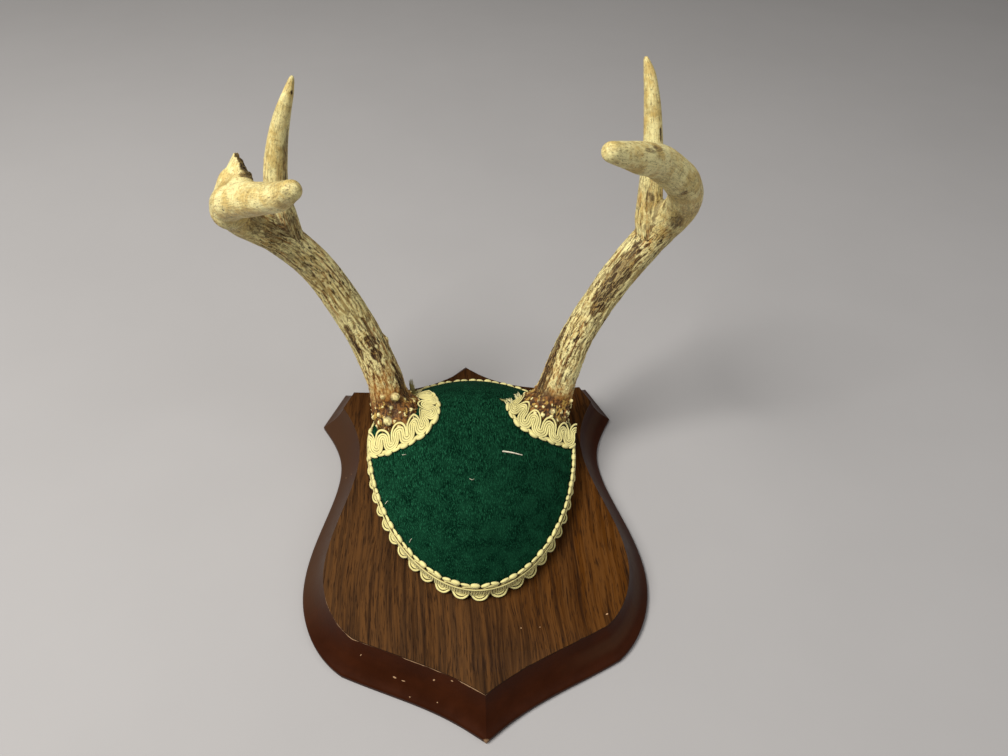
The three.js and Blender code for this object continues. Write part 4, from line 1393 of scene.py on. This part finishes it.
def stem_line(stem, run_start=0.0, side=(0.0, 1.0, 0.0), step=0.8):
    """A stem's middle line at even steps: centres, radii, directions, sides and runs."""
    stem = np.array(stem, float)
    places = np.linspace(0, len(stem) - 1, (len(stem) - 1) * 30 + 1)
    rough = np.array([stem_point(stem[:, :3], p) for p in places])
    radii = np.interp(places, np.arange(len(stem)), stem[:, 3])
    centres, run = evenly(np.column_stack([rough, radii]), step)
    centres, radii = centres[:, :3], centres[:, 3]
    ahead = np.gradient(centres, axis=0)
    ahead /= np.linalg.norm(ahead, axis=1)[:, None]
    sides = np.empty_like(centres)
    side = np.array(side)
    for i, direction in enumerate(ahead):
        side = side - direction * side.dot(direction)
        side /= np.linalg.norm(side)
        sides[i] = side
    runs = run_start + np.linspace(0, run, len(centres))
    return {"centre": centres, "radius": radii, "ahead": ahead, "side": sides, "run": runs}


TUBE_SIDES = 36


def tube(line, round_start=True, sides=TUBE_SIDES):
    """Rings of a tube with rounded ends, as vertices and faces."""
    angles = np.linspace(0, 2 * math.pi, sides, endpoint=False)
    stations = list(zip(line["centre"], line["radius"], line["ahead"], line["side"]))
    if round_start:
        stations = [*end_cap(stations[0], -1), *stations]
    stations = [*stations, *reversed(end_cap(stations[-1], 1))]
    rings = []
    for centre, radius, ahead, side in stations:
        across = np.cross(ahead, side)
        rings.append(centre + radius * (np.outer(np.cos(angles), side) + np.outer(np.sin(angles), across)))
    return loft(rings)


def end_cap(station, sign):
    """Stations from a rounded end's tip back towards the tube."""
    centre, radius, ahead, side = station
    lifts = np.radians([86, 72, 56, 38, 20])
    return [(centre + sign * ahead * radius * math.sin(a), radius * math.cos(a), ahead, side) for a in lifts]


def blob(centre, radii):
    """A small ball, or an egg with three radii, as vertices and faces."""
    rings = []
    for lift in np.radians(np.linspace(-80, 80, 7)):
        angles = np.linspace(0, 2 * math.pi, 10, endpoint=False)
        circle = np.column_stack([np.cos(angles), np.sin(angles)]) * math.cos(lift)
        rings.append(at_height(circle, math.sin(lift)) * radii + centre)
    return loft(rings)


def merged(shapes):
    """Several closed shapes as one set of vertices and faces."""
    vertices, faces, start = [], [], 0
    for points, polygons in shapes:
        vertices.append(points)
        faces += [tuple(i + start for i in polygon) for polygon in polygons]
        start += len(points)
    return np.vstack(vertices), faces


# The flare where the antler meets the skull: [run along the beam, radius, shift inwards].
BURR_FLARE = [(-8, 16.4, 5), (0, 16.2, 4.8), (4, 15, 3.4), (8, 12.8, 1.9), (13, 11.1, 0.4)]
# Rows of knobs on it: [count, run, size].
BURR_KNOBS = [(20, 0, 2.1), (19, 3.5, 2.0), (16, 7, 1.7), (12, 10.5, 1.4)]


def burr_flare(antler, beam):
    """The flare as a line: it widens on the inner side, and is level with the beam outside."""
    runs, radii, shifts = (np.array(values, float) for values in zip(*BURR_FLARE))
    steps = np.linspace(runs[0], runs[-1], 26)
    inner = np.array((-np.sign(antler["seat"][0]), 0.0, 0.0))
    first, ahead, side = beam["centre"][0], beam["ahead"][0], beam["side"][0]
    return {
        "centre": first + np.outer(steps, ahead) + np.outer(np.interp(steps, runs, shifts), inner),
        "radius": np.interp(steps, runs, radii),
        "ahead": np.tile(ahead, (len(steps), 1)),
        "side": np.tile(side, (len(steps), 1)),
        "run": steps,
    }


def burr_knobs(flare, rng):
    """The knobs of the burr."""
    shapes = []
    across = np.cross(flare["ahead"][0], flare["side"][0])
    for row, (count, run, size) in enumerate(BURR_KNOBS):
        for i in range(count):
            angle = 2 * math.pi * (i + rng.uniform(-0.3, 0.3) + 0.5 * row) / count
            ring = math.cos(angle) * flare["side"][0] + math.sin(angle) * across
            place = int(np.argmin(np.abs(flare["run"] - run - rng.uniform(-1.5, 1.5))))
            girth = size * rng.uniform(0.5, 1.05)
            spot = flare["centre"][place] + ring * (flare["radius"][place] - 0.25 * girth)
            shapes.append(blob(spot, girth * rng.uniform(0.8, 1.25, 3)))
    return shapes


PEARL_COUNT = 45
PEARL_START = 6  # run along the beam of the first pearls
PEARL_REACH = 13  # how far past that their number falls off
PEARL_LIMIT = 75


def pearls(line, rng):
    """Small pearls on the lower beam, fewer and smaller away from the burr."""
    shapes = []
    for _ in range(PEARL_COUNT):
        run = min(PEARL_START + rng.exponential(PEARL_REACH), PEARL_LIMIT)
        i = int(np.searchsorted(line["run"], run))
        angle = rng.uniform(0, 2 * math.pi)
        across = np.cross(line["ahead"][i], line["side"][i])
        ring = math.cos(angle) * line["side"][i] + math.sin(angle) * across
        size = rng.uniform(0.6, 1.2) * (1 - 0.5 * run / 80)
        spot = line["centre"][i] + ring * (line["radius"][i] - 0.6 * size)
        shapes.append(blob(spot, np.full(3, size)))
    return shapes


def broken_stub(antler):
    """The snapped tine: its wall cut across at a slant, with a jagged rim round a hollow end."""
    line = stem_line(antler["stub"], side=(0.0, 0.0, 1.0), step=0.4)
    point = np.array(antler["break_point"])
    normal = np.array(antler["break_normal"])
    normal = normal / np.linalg.norm(normal)
    angles = np.linspace(0, 2 * math.pi, TUBE_SIDES, endpoint=False)
    ragged = 0.35 * np.sin(3 * angles + 0.6) + 0.3 * np.sin(7 * angles) + 0.25 * np.sin(11 * angles + 1.9)
    across = np.cross(line["ahead"], line["side"])
    arms = np.cos(angles)[None, :, None] * line["side"][:, None]
    arms = arms + np.sin(angles)[None, :, None] * across[:, None]

    def ring_at(share, limit):
        spots = line["centre"][:, None] + arms * line["radius"][:, None, None] * share
        beyond = (spots - point) @ normal > limit
        first = np.where(beyond.any(axis=0), beyond.argmax(axis=0), len(spots) - 1)
        return spots[first, np.arange(len(angles))]

    flat = np.zeros(len(angles))
    rings = [line["centre"][i] + arms[i] * line["radius"][i] for i in (0, 4)]
    rings += [ring_at(1.0, ragged), ring_at(0.74, ragged - 0.3)]
    rings += [ring_at(0.6, flat - 2.4), ring_at(0.3, flat - 3.2)]
    return loft(rings)


def antler_stems(antler, lines):
    """The stems whose joins are eased."""
    shapes = [tube(lines["beam"]), tube(lines["tine"]), tube(burr_flare(antler, lines["beam"]), False)]
    for part in ("nub", "ridge", "web"):
        if part in antler:
            shapes.append(tube(stem_line(antler[part])))
    if "stub" in antler:
        shapes.append(tube(stem_line(antler["stub"][:2])))
    return shapes


def antler_details(antler, lines, rng):
    """The knobs, pearls and broken tine, which stay crisp."""
    shapes = burr_knobs(burr_flare(antler, lines["beam"]), rng)
    shapes += pearls(lines["beam"], rng)
    for x, y, z, size, _ in antler["pearls"]:
        shapes.append(blob((x, y, z), np.array((1.0, 0.9, 1.15)) * size))
    if "stub" in antler:
        shapes.append(broken_stub(antler))
    return shapes


def antler_lines(antler):
    """The middle lines of the beam and of the tine, whose runs and sides carry on from the beam's."""
    beam = stem_line(antler["beam"])
    fork = np.array(antler["beam"][FORK][:3])
    i = int(np.argmin(np.linalg.norm(beam["centre"] - fork, axis=1)))
    lines = {"beam": beam}
    lines["tine"] = stem_line(antler["tine"], beam["run"][i], beam["side"][i])
    if "stub" in antler:
        root = np.array(antler["stub"][0][:3])
        i = int(np.argmin(np.linalg.norm(beam["centre"] - root, axis=1)))
        lines["stub"] = stem_line(antler["stub"], beam["run"][i], beam["side"][i])
    return lines


def straightened(places, lines):
    """For each vertex: its place on a straightened stem, its run and the stem's radius there."""
    best = np.full(len(places), np.inf)
    straight = np.zeros((len(places), 3))
    radius = np.ones(len(places))
    for line in lines.values():
        nearest = np.empty(len(places), int)
        for start in range(0, len(places), 4000):
            part = places[start:start + 4000]
            gap = np.linalg.norm(part[:, None] - line["centre"][None], axis=2)
            nearest[start:start + 4000] = np.argmin(gap, axis=1)
        arm = places - line["centre"][nearest]
        ahead, side = line["ahead"][nearest], line["side"][nearest]
        across = np.cross(ahead, side)
        local = np.column_stack([np.sum(arm * side, 1), np.sum(arm * across, 1)])
        run = line["run"][nearest] + np.sum(arm * ahead, 1)
        share = np.linalg.norm(arm, axis=1) / line["radius"][nearest]
        closer = share < best
        best[closer] = share[closer]
        straight[closer] = np.column_stack([local, run])[closer]
        radius[closer] = line["radius"][nearest][closer]
    return straight, radius


HOLLOW_SPREAD = 16  # how many times the surface is averaged to find its hollows


def carve(obj, antler, lines, depth, seed):
    """Grooves, pits and lumps pressed into the bone, and the masks that its material reads."""
    places = vertex_places(obj)
    normals = np.empty(len(places) * 3)
    obj.data.vertices.foreach_get("normal", normals)
    normals = normals.reshape(-1, 3)
    straight, radius = straightened(places, lines)
    run = straight[:, 2]
    height = np.clip(run / lines["beam"]["run"][-1], 0, 1)
    slimness = smooth_step(2.0, 7.0, radius)
    rough = (1 - 0.85 * smooth_step(0.3, 0.8, height)) * (0.25 + 0.75 * slimness)

    drift = np.column_stack([lattice_noise(straight / 14, seed + k) for k in range(3)]) * 1.5
    warped = straight + drift * (1, 1, 0)
    wide = np.abs(lattice_noise(warped / (3.4, 3.4, 24), seed + 5))
    thin = np.abs(lattice_noise(warped / (1.6, 1.6, 9), seed + 6))
    groove = np.maximum(1 - smooth_step(0.02, 0.2, wide), 0.65 * (1 - smooth_step(0.02, 0.22, thin)))
    patch = smooth_step(-0.35, 0.35, lattice_noise(straight / (9, 9, 30), seed + 7))
    groove *= 0.35 + 0.65 * patch
    grit = lattice_noise(straight / (1.3, 1.3, 1.7), seed + 8)
    lump = lattice_noise(places / 13, seed + 9)
    pits = smooth_step(0.34, 0.6, lattice_noise(straight / (1.5, 1.5, 3.2), seed + 10))
    near_burr = np.exp(-np.clip(run - 4, 0, None) / 16)
    torn = 1 + 0.55 * lattice_noise(straight / (1.8, 1.8, 5), seed + 11)
    stain = stain_mask(antler, places, straight, torn)
    press = -depth * groove * rough - 0.4 * pits * rough - 0.5 * stain * rough
    press += 0.22 * grit * (rough * 0.5 + near_burr) + 0.3 * lump * slimness
    moved = places + normals * press[:, None]
    obj.data.vertices.foreach_set("co", (moved * MM).ravel())
    obj.data.update()
    if "break_point" in antler:
        stain = with_broken_face(antler, places, normals, stain)
    pale = pearl_mask(antler, places)
    set_attribute(obj, "grain", straight * MM)
    set_attribute(obj, "groove", np.clip(groove * (0.35 + rough) + 0.6 * pits * rough, 0, 1))
    set_attribute(obj, "height", height)
    # The stain attribute carries brown stains and painted shade.
    set_attribute(obj, "stain", stain * (1 - pale))
    set_attribute(obj, "pale", pale)
    set_attribute(obj, "hollow", np.clip(0.5 + hollows(obj, moved, normals), 0, 1))


def stain_mask(antler, places, straight, torn):
    """How stained each vertex is, with torn edges; some of the patches are painted shade."""
    stain = np.zeros(len(places))
    for x, y, z, long, wide, strength in antler["stains_and_shade"]:
        spot = straight[np.argmin(np.linalg.norm(places - (x, y, z), axis=1))]
        away = np.linalg.norm((straight - spot) / (wide, wide, long), axis=1) * torn
        stain = np.maximum(stain, strength * (1 - smooth_step(0.8, 1.1, away)))
    return stain


BREAK_REACH = 13  # how far from its point the broken face goes


def with_broken_face(antler, places, normals, stain):
    """The stain and painted shade, with the stub's broken face dark and the bone round it clean."""
    normal = np.array(antler["break_normal"])
    normal = normal / np.linalg.norm(normal)
    beyond = (places - antler["break_point"]) @ normal
    close = np.linalg.norm(places - antler["break_point"], axis=1) < BREAK_REACH
    facing = smooth_step(0.3, 0.55, normals @ normal)
    return np.where(close, facing * smooth_step(-4.5, -2.5, beyond), stain)


def pearl_mask(antler, places):
    """How pale each vertex is because of a pearl."""
    pale = np.zeros(len(places))
    for x, y, z, size, paleness in antler["pearls"]:
        away = np.linalg.norm(places - (x, y, z), axis=1) / size
        pale = np.maximum(pale, paleness * (1 - smooth_step(0.95, 1.4, away)))
    return pale


def hollows(obj, places, normals):
    """How deep each vertex lies below its surroundings, in millimetres."""
    ends = np.empty(len(obj.data.edges) * 2, int)
    obj.data.edges.foreach_get("vertices", ends)
    first, second = ends.reshape(-1, 2).T
    here, there = np.concatenate([first, second]), np.concatenate([second, first])
    count = np.maximum(np.bincount(here, minlength=len(places)), 1)
    mean = places
    for _ in range(HOLLOW_SPREAD):
        sums = [np.bincount(here, weights=axis[there], minlength=len(places)) for axis in mean.T]
        mean = (mean + np.column_stack(sums) / count[:, None]) / 2
    return np.sum((mean - places) * normals, axis=1)


def squiggles(tree, place, across, along, width):
    """Fine wandering lines: 1 on a line and 0 elsewhere."""
    scaled = vector_maths("MULTIPLY", place, (1000 / across, 1000 / across, 1000 / along))
    value = noise(tree, scaled, 1.0, 1.0, 0.5, 0.6)
    return between(maths("ABSOLUTE", minus(value, 0.5)), width, width * 0.3)


def antler_material(settings):
    """Weathered antler: pale rubbed ridges, brown hollows and lines, dark dashes and a crusty base."""
    material, tree, shader = new_material("antler_bone", Specular_IOR_Level=0.3)
    grain = attribute(tree, "grain").outputs["Vector"]
    groove = attribute(tree, "groove").outputs["Fac"]
    height = attribute(tree, "height").outputs["Fac"]
    stain = attribute(tree, "stain").outputs["Fac"]
    pale = attribute(tree, "pale").outputs["Fac"]
    hollow = attribute(tree, "hollow").outputs["Fac"]
    place = object_place(tree)
    dark = shaded(settings.brown, 0.42)
    upper = between(height, 0.5, 0.72)
    lower = minus(1.0, upper)
    cloudy = mottle(place, 10.0, 0.4, 0.6)
    patchy = mottle(place, 24.0, 0.4, 0.56)
    worn = mottle(place, 30.0, 0.44, 0.6)
    busy = times(lower, patchy)
    tone = mix(times(cloudy, 0.7), settings.bone, settings.tan)
    tone = mix(times(worn, 0.3), tone, settings.olive)

    lines = streaks(grain, 1.5, 18.0, 0.5, 0.6, detail=4.0)
    share = plus(0.12, times(busy, 0.6))
    tone = mix(times(lines, share), tone, settings.rust)
    fine = streaks(grain, 0.65, 7.0, 0.51, 0.61)
    share = plus(0.2, times(busy, 0.6))
    tone = mix(times(fine, share), tone, settings.brown)
    sunk = between(hollow, 0.51, 0.62)
    sunk = maths("MAXIMUM", times(groove, 0.6), sunk)
    share = plus(0.2, times(lower, 0.5))
    tone = mix(times(sunk, share), tone, settings.brown)
    rubbed = times(between(hollow, 0.45, 0.34), lower)
    tone = mix(times(rubbed, 0.7), tone, settings.bone)

    curls = squiggles(tree, place, 3.0, 3.0, 0.035)
    speck = streaks(grain, 0.6, 1.3, 0.6, 0.64, detail=2.0)
    curls = maths("MAXIMUM", times(curls, worn), speck)
    tone = mix(times(curls, 0.5), tone, settings.brown)
    dash = streaks(grain, 1.0, 3.8, 0.59, 0.61, detail=2.0)
    share = plus(0.15, times(busy, 0.8))
    tone = mix(times(dash, share), tone, dark)

    wander = minus(noise(tree, place, 130.0, 3.0, 0.6), 0.5)
    level = plus(height, times(wander, 0.07))
    base = between(level, 0.085, 0.045)
    rusty = times(between(level, 0.17, 0.07), cloudy)
    tone = mix(times(rusty, 0.6), tone, settings.rust)
    crumbs = mottle(place, 3.0, 0.46, 0.54)
    crust = mix(crumbs, settings.brown, shaded(settings.rust, 0.55))
    flakes = mottle(place, 4.6, 0.53, 0.57)
    crust = mix(times(flakes, 0.8), crust, settings.tan)
    crust = mix(between(hollow, 0.3, 0.1), crust, settings.bone)
    crust = mix(between(hollow, 0.52, 0.7), crust, dark)
    tone = mix(times(base, 0.95), tone, crust)

    sway = add(tree, "ShaderNodeTexNoise", {"Vector": place, "Scale": 330.0, "Detail": 1.0}).outputs["Color"]
    stretched = vector_maths("MULTIPLY", grain, (1000 / 1.3, 1000 / 1.3, 1000 / 7.5))
    inputs = {"Vector": vector_maths("ADD", stretched, sway), "Scale": 1.0}
    lot = add(tree, "ShaderNodeTexVoronoi", inputs).outputs["Color"]
    lot = add(tree, "ShaderNodeSeparateColor", {0: lot}).outputs[0]
    gap = add(tree, "ShaderNodeTexVoronoi", inputs, feature="DISTANCE_TO_EDGE").outputs["Distance"]
    cell = times(between(gap, 0.02, 0.1), between(lot, 0.0, 0.35))
    crack = times(between(gap, 0.05, 0.01), times(stain, 0.3))
    # The stain mask darkens brown stains and painted shade alike.
    tone = mix(times(stain, 0.65), tone, shaded(settings.brown, 1.3))
    tone = mix(times(stain, cell), tone, dark)
    tone = mix(crack, tone, settings.tan)
    tone = mix(times(pale, 0.7), tone, settings.bone)
    tree.links.new(tone, shader.inputs["Base Color"])
    roughness = minus(0.62, times(upper, 0.14))
    tree.links.new(roughness, shader.inputs["Roughness"])
    marked = plus(fine, times(dash, 2.0))
    relief = minus(noise(tree, place, 900.0, 3.0, 0.6), marked)
    bump(tree, shader, relief, 0.45, 0.0004)
    return material


STEM_EASING = 14  # how many times the joins of the stems are eased
SKIN_EASING = 2  # how many times the finished skin is


class PLAQUE_OT_antlers(bpy.types.Operator):
    """Build both antlers, each as one bone"""

    bl_idname = "plaque.antlers"
    bl_label = "Antlers"

    def execute(self, context):
        settings = context.scene.plaque_antler
        material = antler_material(settings)
        for seed, (side, antler) in enumerate(ANTLERS.items(), 1):
            lines = antler_lines(antler)
            rng = np.random.default_rng(40 + seed)
            stems = new_object("stems", *merged(antler_stems(antler, lines)), 180)
            self.weld(stems, settings.voxel, STEM_EASING)
            faces = [tuple(polygon.vertices) for polygon in stems.data.polygons]
            shapes = [(vertex_places(stems), faces), *antler_details(antler, lines, rng)]
            bpy.data.meshes.remove(stems.data)
            bone = new_object(f"antler_{side}", *merged(shapes), 180)
            self.weld(bone, settings.voxel, SKIN_EASING)
            carve(bone, antler, lines, settings.groove_depth / MM, 100 * seed)
            smooth(bone, 180)
            nodes = [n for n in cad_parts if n.startswith(f"antler_{side}_")]
            finish_piece(bone, material, nodes)
        return {"FINISHED"}

    def weld(self, bone, voxel, easing):
        """Joins the overlapping shapes into one skin and eases the joins."""
        remesh = bone.modifiers.new("skin", "REMESH")
        remesh.mode = "VOXEL"
        remesh.voxel_size = voxel
        ease = bone.modifiers.new("ease", "SMOOTH")
        ease.factor = 0.5
        ease.iterations = easing
        settle(bone)


# ---- Back fittings -----------------------------------------------------------------------------


def steel_material():
    """Zinc-plated steel, faintly brushed and spotted."""
    material, tree, shader = new_material("plated_steel", Metallic=1.0)
    place = object_place(tree)
    brushed = streaks(place, 0.3, 6.0, 0.3, 0.7)
    spots = mottle(place, 4.0, 0.5, 0.75)
    tone = mix(times(brushed, 0.35), srgb(178, 176, 166), srgb(132, 130, 122))
    tone = mix(times(spots, 0.5), tone, srgb(96, 84, 66))
    tree.links.new(tone, shader.inputs["Base Color"])
    rough = plus(0.32, times(spots, 0.3))
    tree.links.new(rough, shader.inputs["Roughness"])
    bump(tree, shader, brushed, 0.1, 0.0001)
    return material


class PLAQUE_OT_fittings(bpy.types.Operator):
    """Finish the screws and the hanger on the back"""

    bl_idname = "plaque.fittings"
    bl_label = "Back fittings"

    def execute(self, context):
        steel = steel_material()
        for name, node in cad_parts.items():
            if name.startswith(("back_screw_", "hanger_")):
                node.material_slots[0].material = steel
        return {"FINISHED"}


# ---- Stage -------------------------------------------------------------------------------------

CAMERA_PLACE = (-17, -250, 366)  # millimetres
CAMERA_PITCH = 44.871  # degrees below the horizon
CAMERA_YAW = 6.714  # degrees right of +Y
CAMERA_ROLL = 3.451  # degrees
FRAME_WIDTH = 36  # millimetres, on the camera's sensor
PICTURE_WIDTH = 1008  # pixels
FOCAL_LENGTH = 757  # pixels
CAMERA_LENS = FRAME_WIDTH * FOCAL_LENGTH / PICTURE_WIDTH

FLOOR_REACH = 2500  # millimetres from the middle
# Lights, in metres.
LIGHT_TARGET = (0, 0.02, 0.06)
KEY_PLACE = (-0.7, -0.25, 1.2)
KEY_SIZE = 0.7
FILL_PLACE = (0.8, -0.5, 1.1)
FILL_SIZE = 1.2
WARM = (1.0, 0.985, 0.95)
COOL = (0.95, 0.97, 1.0)
ROOM_LIGHT = 0.17


def add_camera():
    pitch, yaw, roll = (math.radians(a) for a in (CAMERA_PITCH, CAMERA_YAW, CAMERA_ROLL))
    ahead = Vector((math.sin(yaw) * math.cos(pitch), math.cos(yaw) * math.cos(pitch), -math.sin(pitch)))
    right = Vector((math.cos(yaw), -math.sin(yaw), 0))
    up = right.cross(ahead)
    across = math.cos(roll) * right + math.sin(roll) * up
    upward = math.cos(roll) * up - math.sin(roll) * right
    data = bpy.data.cameras.new("camera")
    data.sensor_fit = "HORIZONTAL"
    data.sensor_width = FRAME_WIDTH
    data.lens = CAMERA_LENS
    data.clip_start = 0.01
    camera = bpy.data.objects.new("camera", data)
    bpy.context.scene.collection.objects.link(camera)
    turn = Matrix((across, upward, -ahead)).transposed().to_4x4()
    camera.matrix_world = Matrix.Translation(Vector(CAMERA_PLACE) * MM) @ turn
    bpy.context.scene.camera = camera


def add_light(name, place, size, power, tint):
    data = bpy.data.lights.new(name, "AREA")
    data.shape = "DISK"
    data.size = size
    data.energy = power
    data.color = tint
    light = bpy.data.objects.new(name, data)
    bpy.context.scene.collection.objects.link(light)
    direction = Vector(LIGHT_TARGET) - Vector(place)
    light.matrix_world = Matrix.Translation(place) @ direction.to_track_quat("-Z", "Y").to_matrix().to_4x4()


class PLAQUE_OT_stage(bpy.types.Operator):
    """Set up the floor, the lights and the camera"""

    bl_idname = "plaque.stage"
    bl_label = "Stage"

    def execute(self, context):
        settings = context.scene.plaque_stage
        corners = [(x * FLOOR_REACH, y * FLOOR_REACH, 0) for x, y in ((-1, -1), (1, -1), (1, 1), (-1, 1))]
        floor = new_object("floor", corners, [(0, 1, 2, 3)])
        material, tree, shader = new_material("plain_floor", Roughness=0.9, Specular_IOR_Level=0.2)
        place = object_place(tree)
        cloudy = mottle(place, 300.0, 0.2, 0.8)
        darker = shaded(settings.floor, 0.94)
        tree.links.new(mix(cloudy, settings.floor, darker), shader.inputs["Base Color"])
        floor.data.materials.append(material)
        add_light("key", KEY_PLACE, KEY_SIZE, settings.key, WARM)
        add_light("fill", FILL_PLACE, FILL_SIZE, settings.fill, COOL)
        world = bpy.data.worlds.new("studio")
        world.use_nodes = True
        background = world.node_tree.nodes["Background"]
        background.inputs["Color"].default_value = (*WARM, 1)
        background.inputs["Strength"].default_value = ROOM_LIGHT
        context.scene.world = world
        context.scene.view_settings.view_transform = "Standard"
        add_camera()
        return {"FINISHED"}


# ---- Add-on ------------------------------------------------------------------------------------

SETTINGS = {
    "plaque_board": BoardSettings,
    "plaque_felt": FeltSettings,
    "plaque_braid": BraidSettings,
    "plaque_antler": AntlerSettings,
    "plaque_stage": StageSettings,
}
OPERATORS = [
    PLAQUE_OT_stage,
    PLAQUE_OT_board,
    PLAQUE_OT_face,
    PLAQUE_OT_felt,
    PLAQUE_OT_braids,
    PLAQUE_OT_threads,
    PLAQUE_OT_antlers,
    PLAQUE_OT_fittings,
]


class PLAQUE_PT_panel(bpy.types.Panel):
    """Steps that build the antler plaque"""

    bl_idname = "PLAQUE_PT_panel"
    bl_label = "Antler Plaque"
    bl_space_type = "VIEW_3D"
    bl_region_type = "UI"
    bl_category = "Antler Plaque"

    def draw(self, context):
        for operator in OPERATORS:
            self.layout.operator(operator.bl_idname)
        for name, group in SETTINGS.items():
            box = self.layout.box()
            box.label(text=group.__doc__)
            for key in group.__annotations__:
                box.prop(getattr(context.scene, name), key)


def register():
    for group in [*SETTINGS.values(), *OPERATORS, PLAQUE_PT_panel]:
        bpy.utils.register_class(group)
    for name, group in SETTINGS.items():
        setattr(bpy.types.Scene, name, bpy.props.PointerProperty(type=group))


def unregister():
    for name in SETTINGS:
        delattr(bpy.types.Scene, name)
    for group in reversed([*SETTINGS.values(), *OPERATORS, PLAQUE_PT_panel]):
        bpy.utils.unregister_class(group)


def main():
    register()
    for operator in OPERATORS:
        group, name = operator.bl_idname.split(".")
        getattr(getattr(bpy.ops, group), name)()


if __name__ == "__main__":
    main()
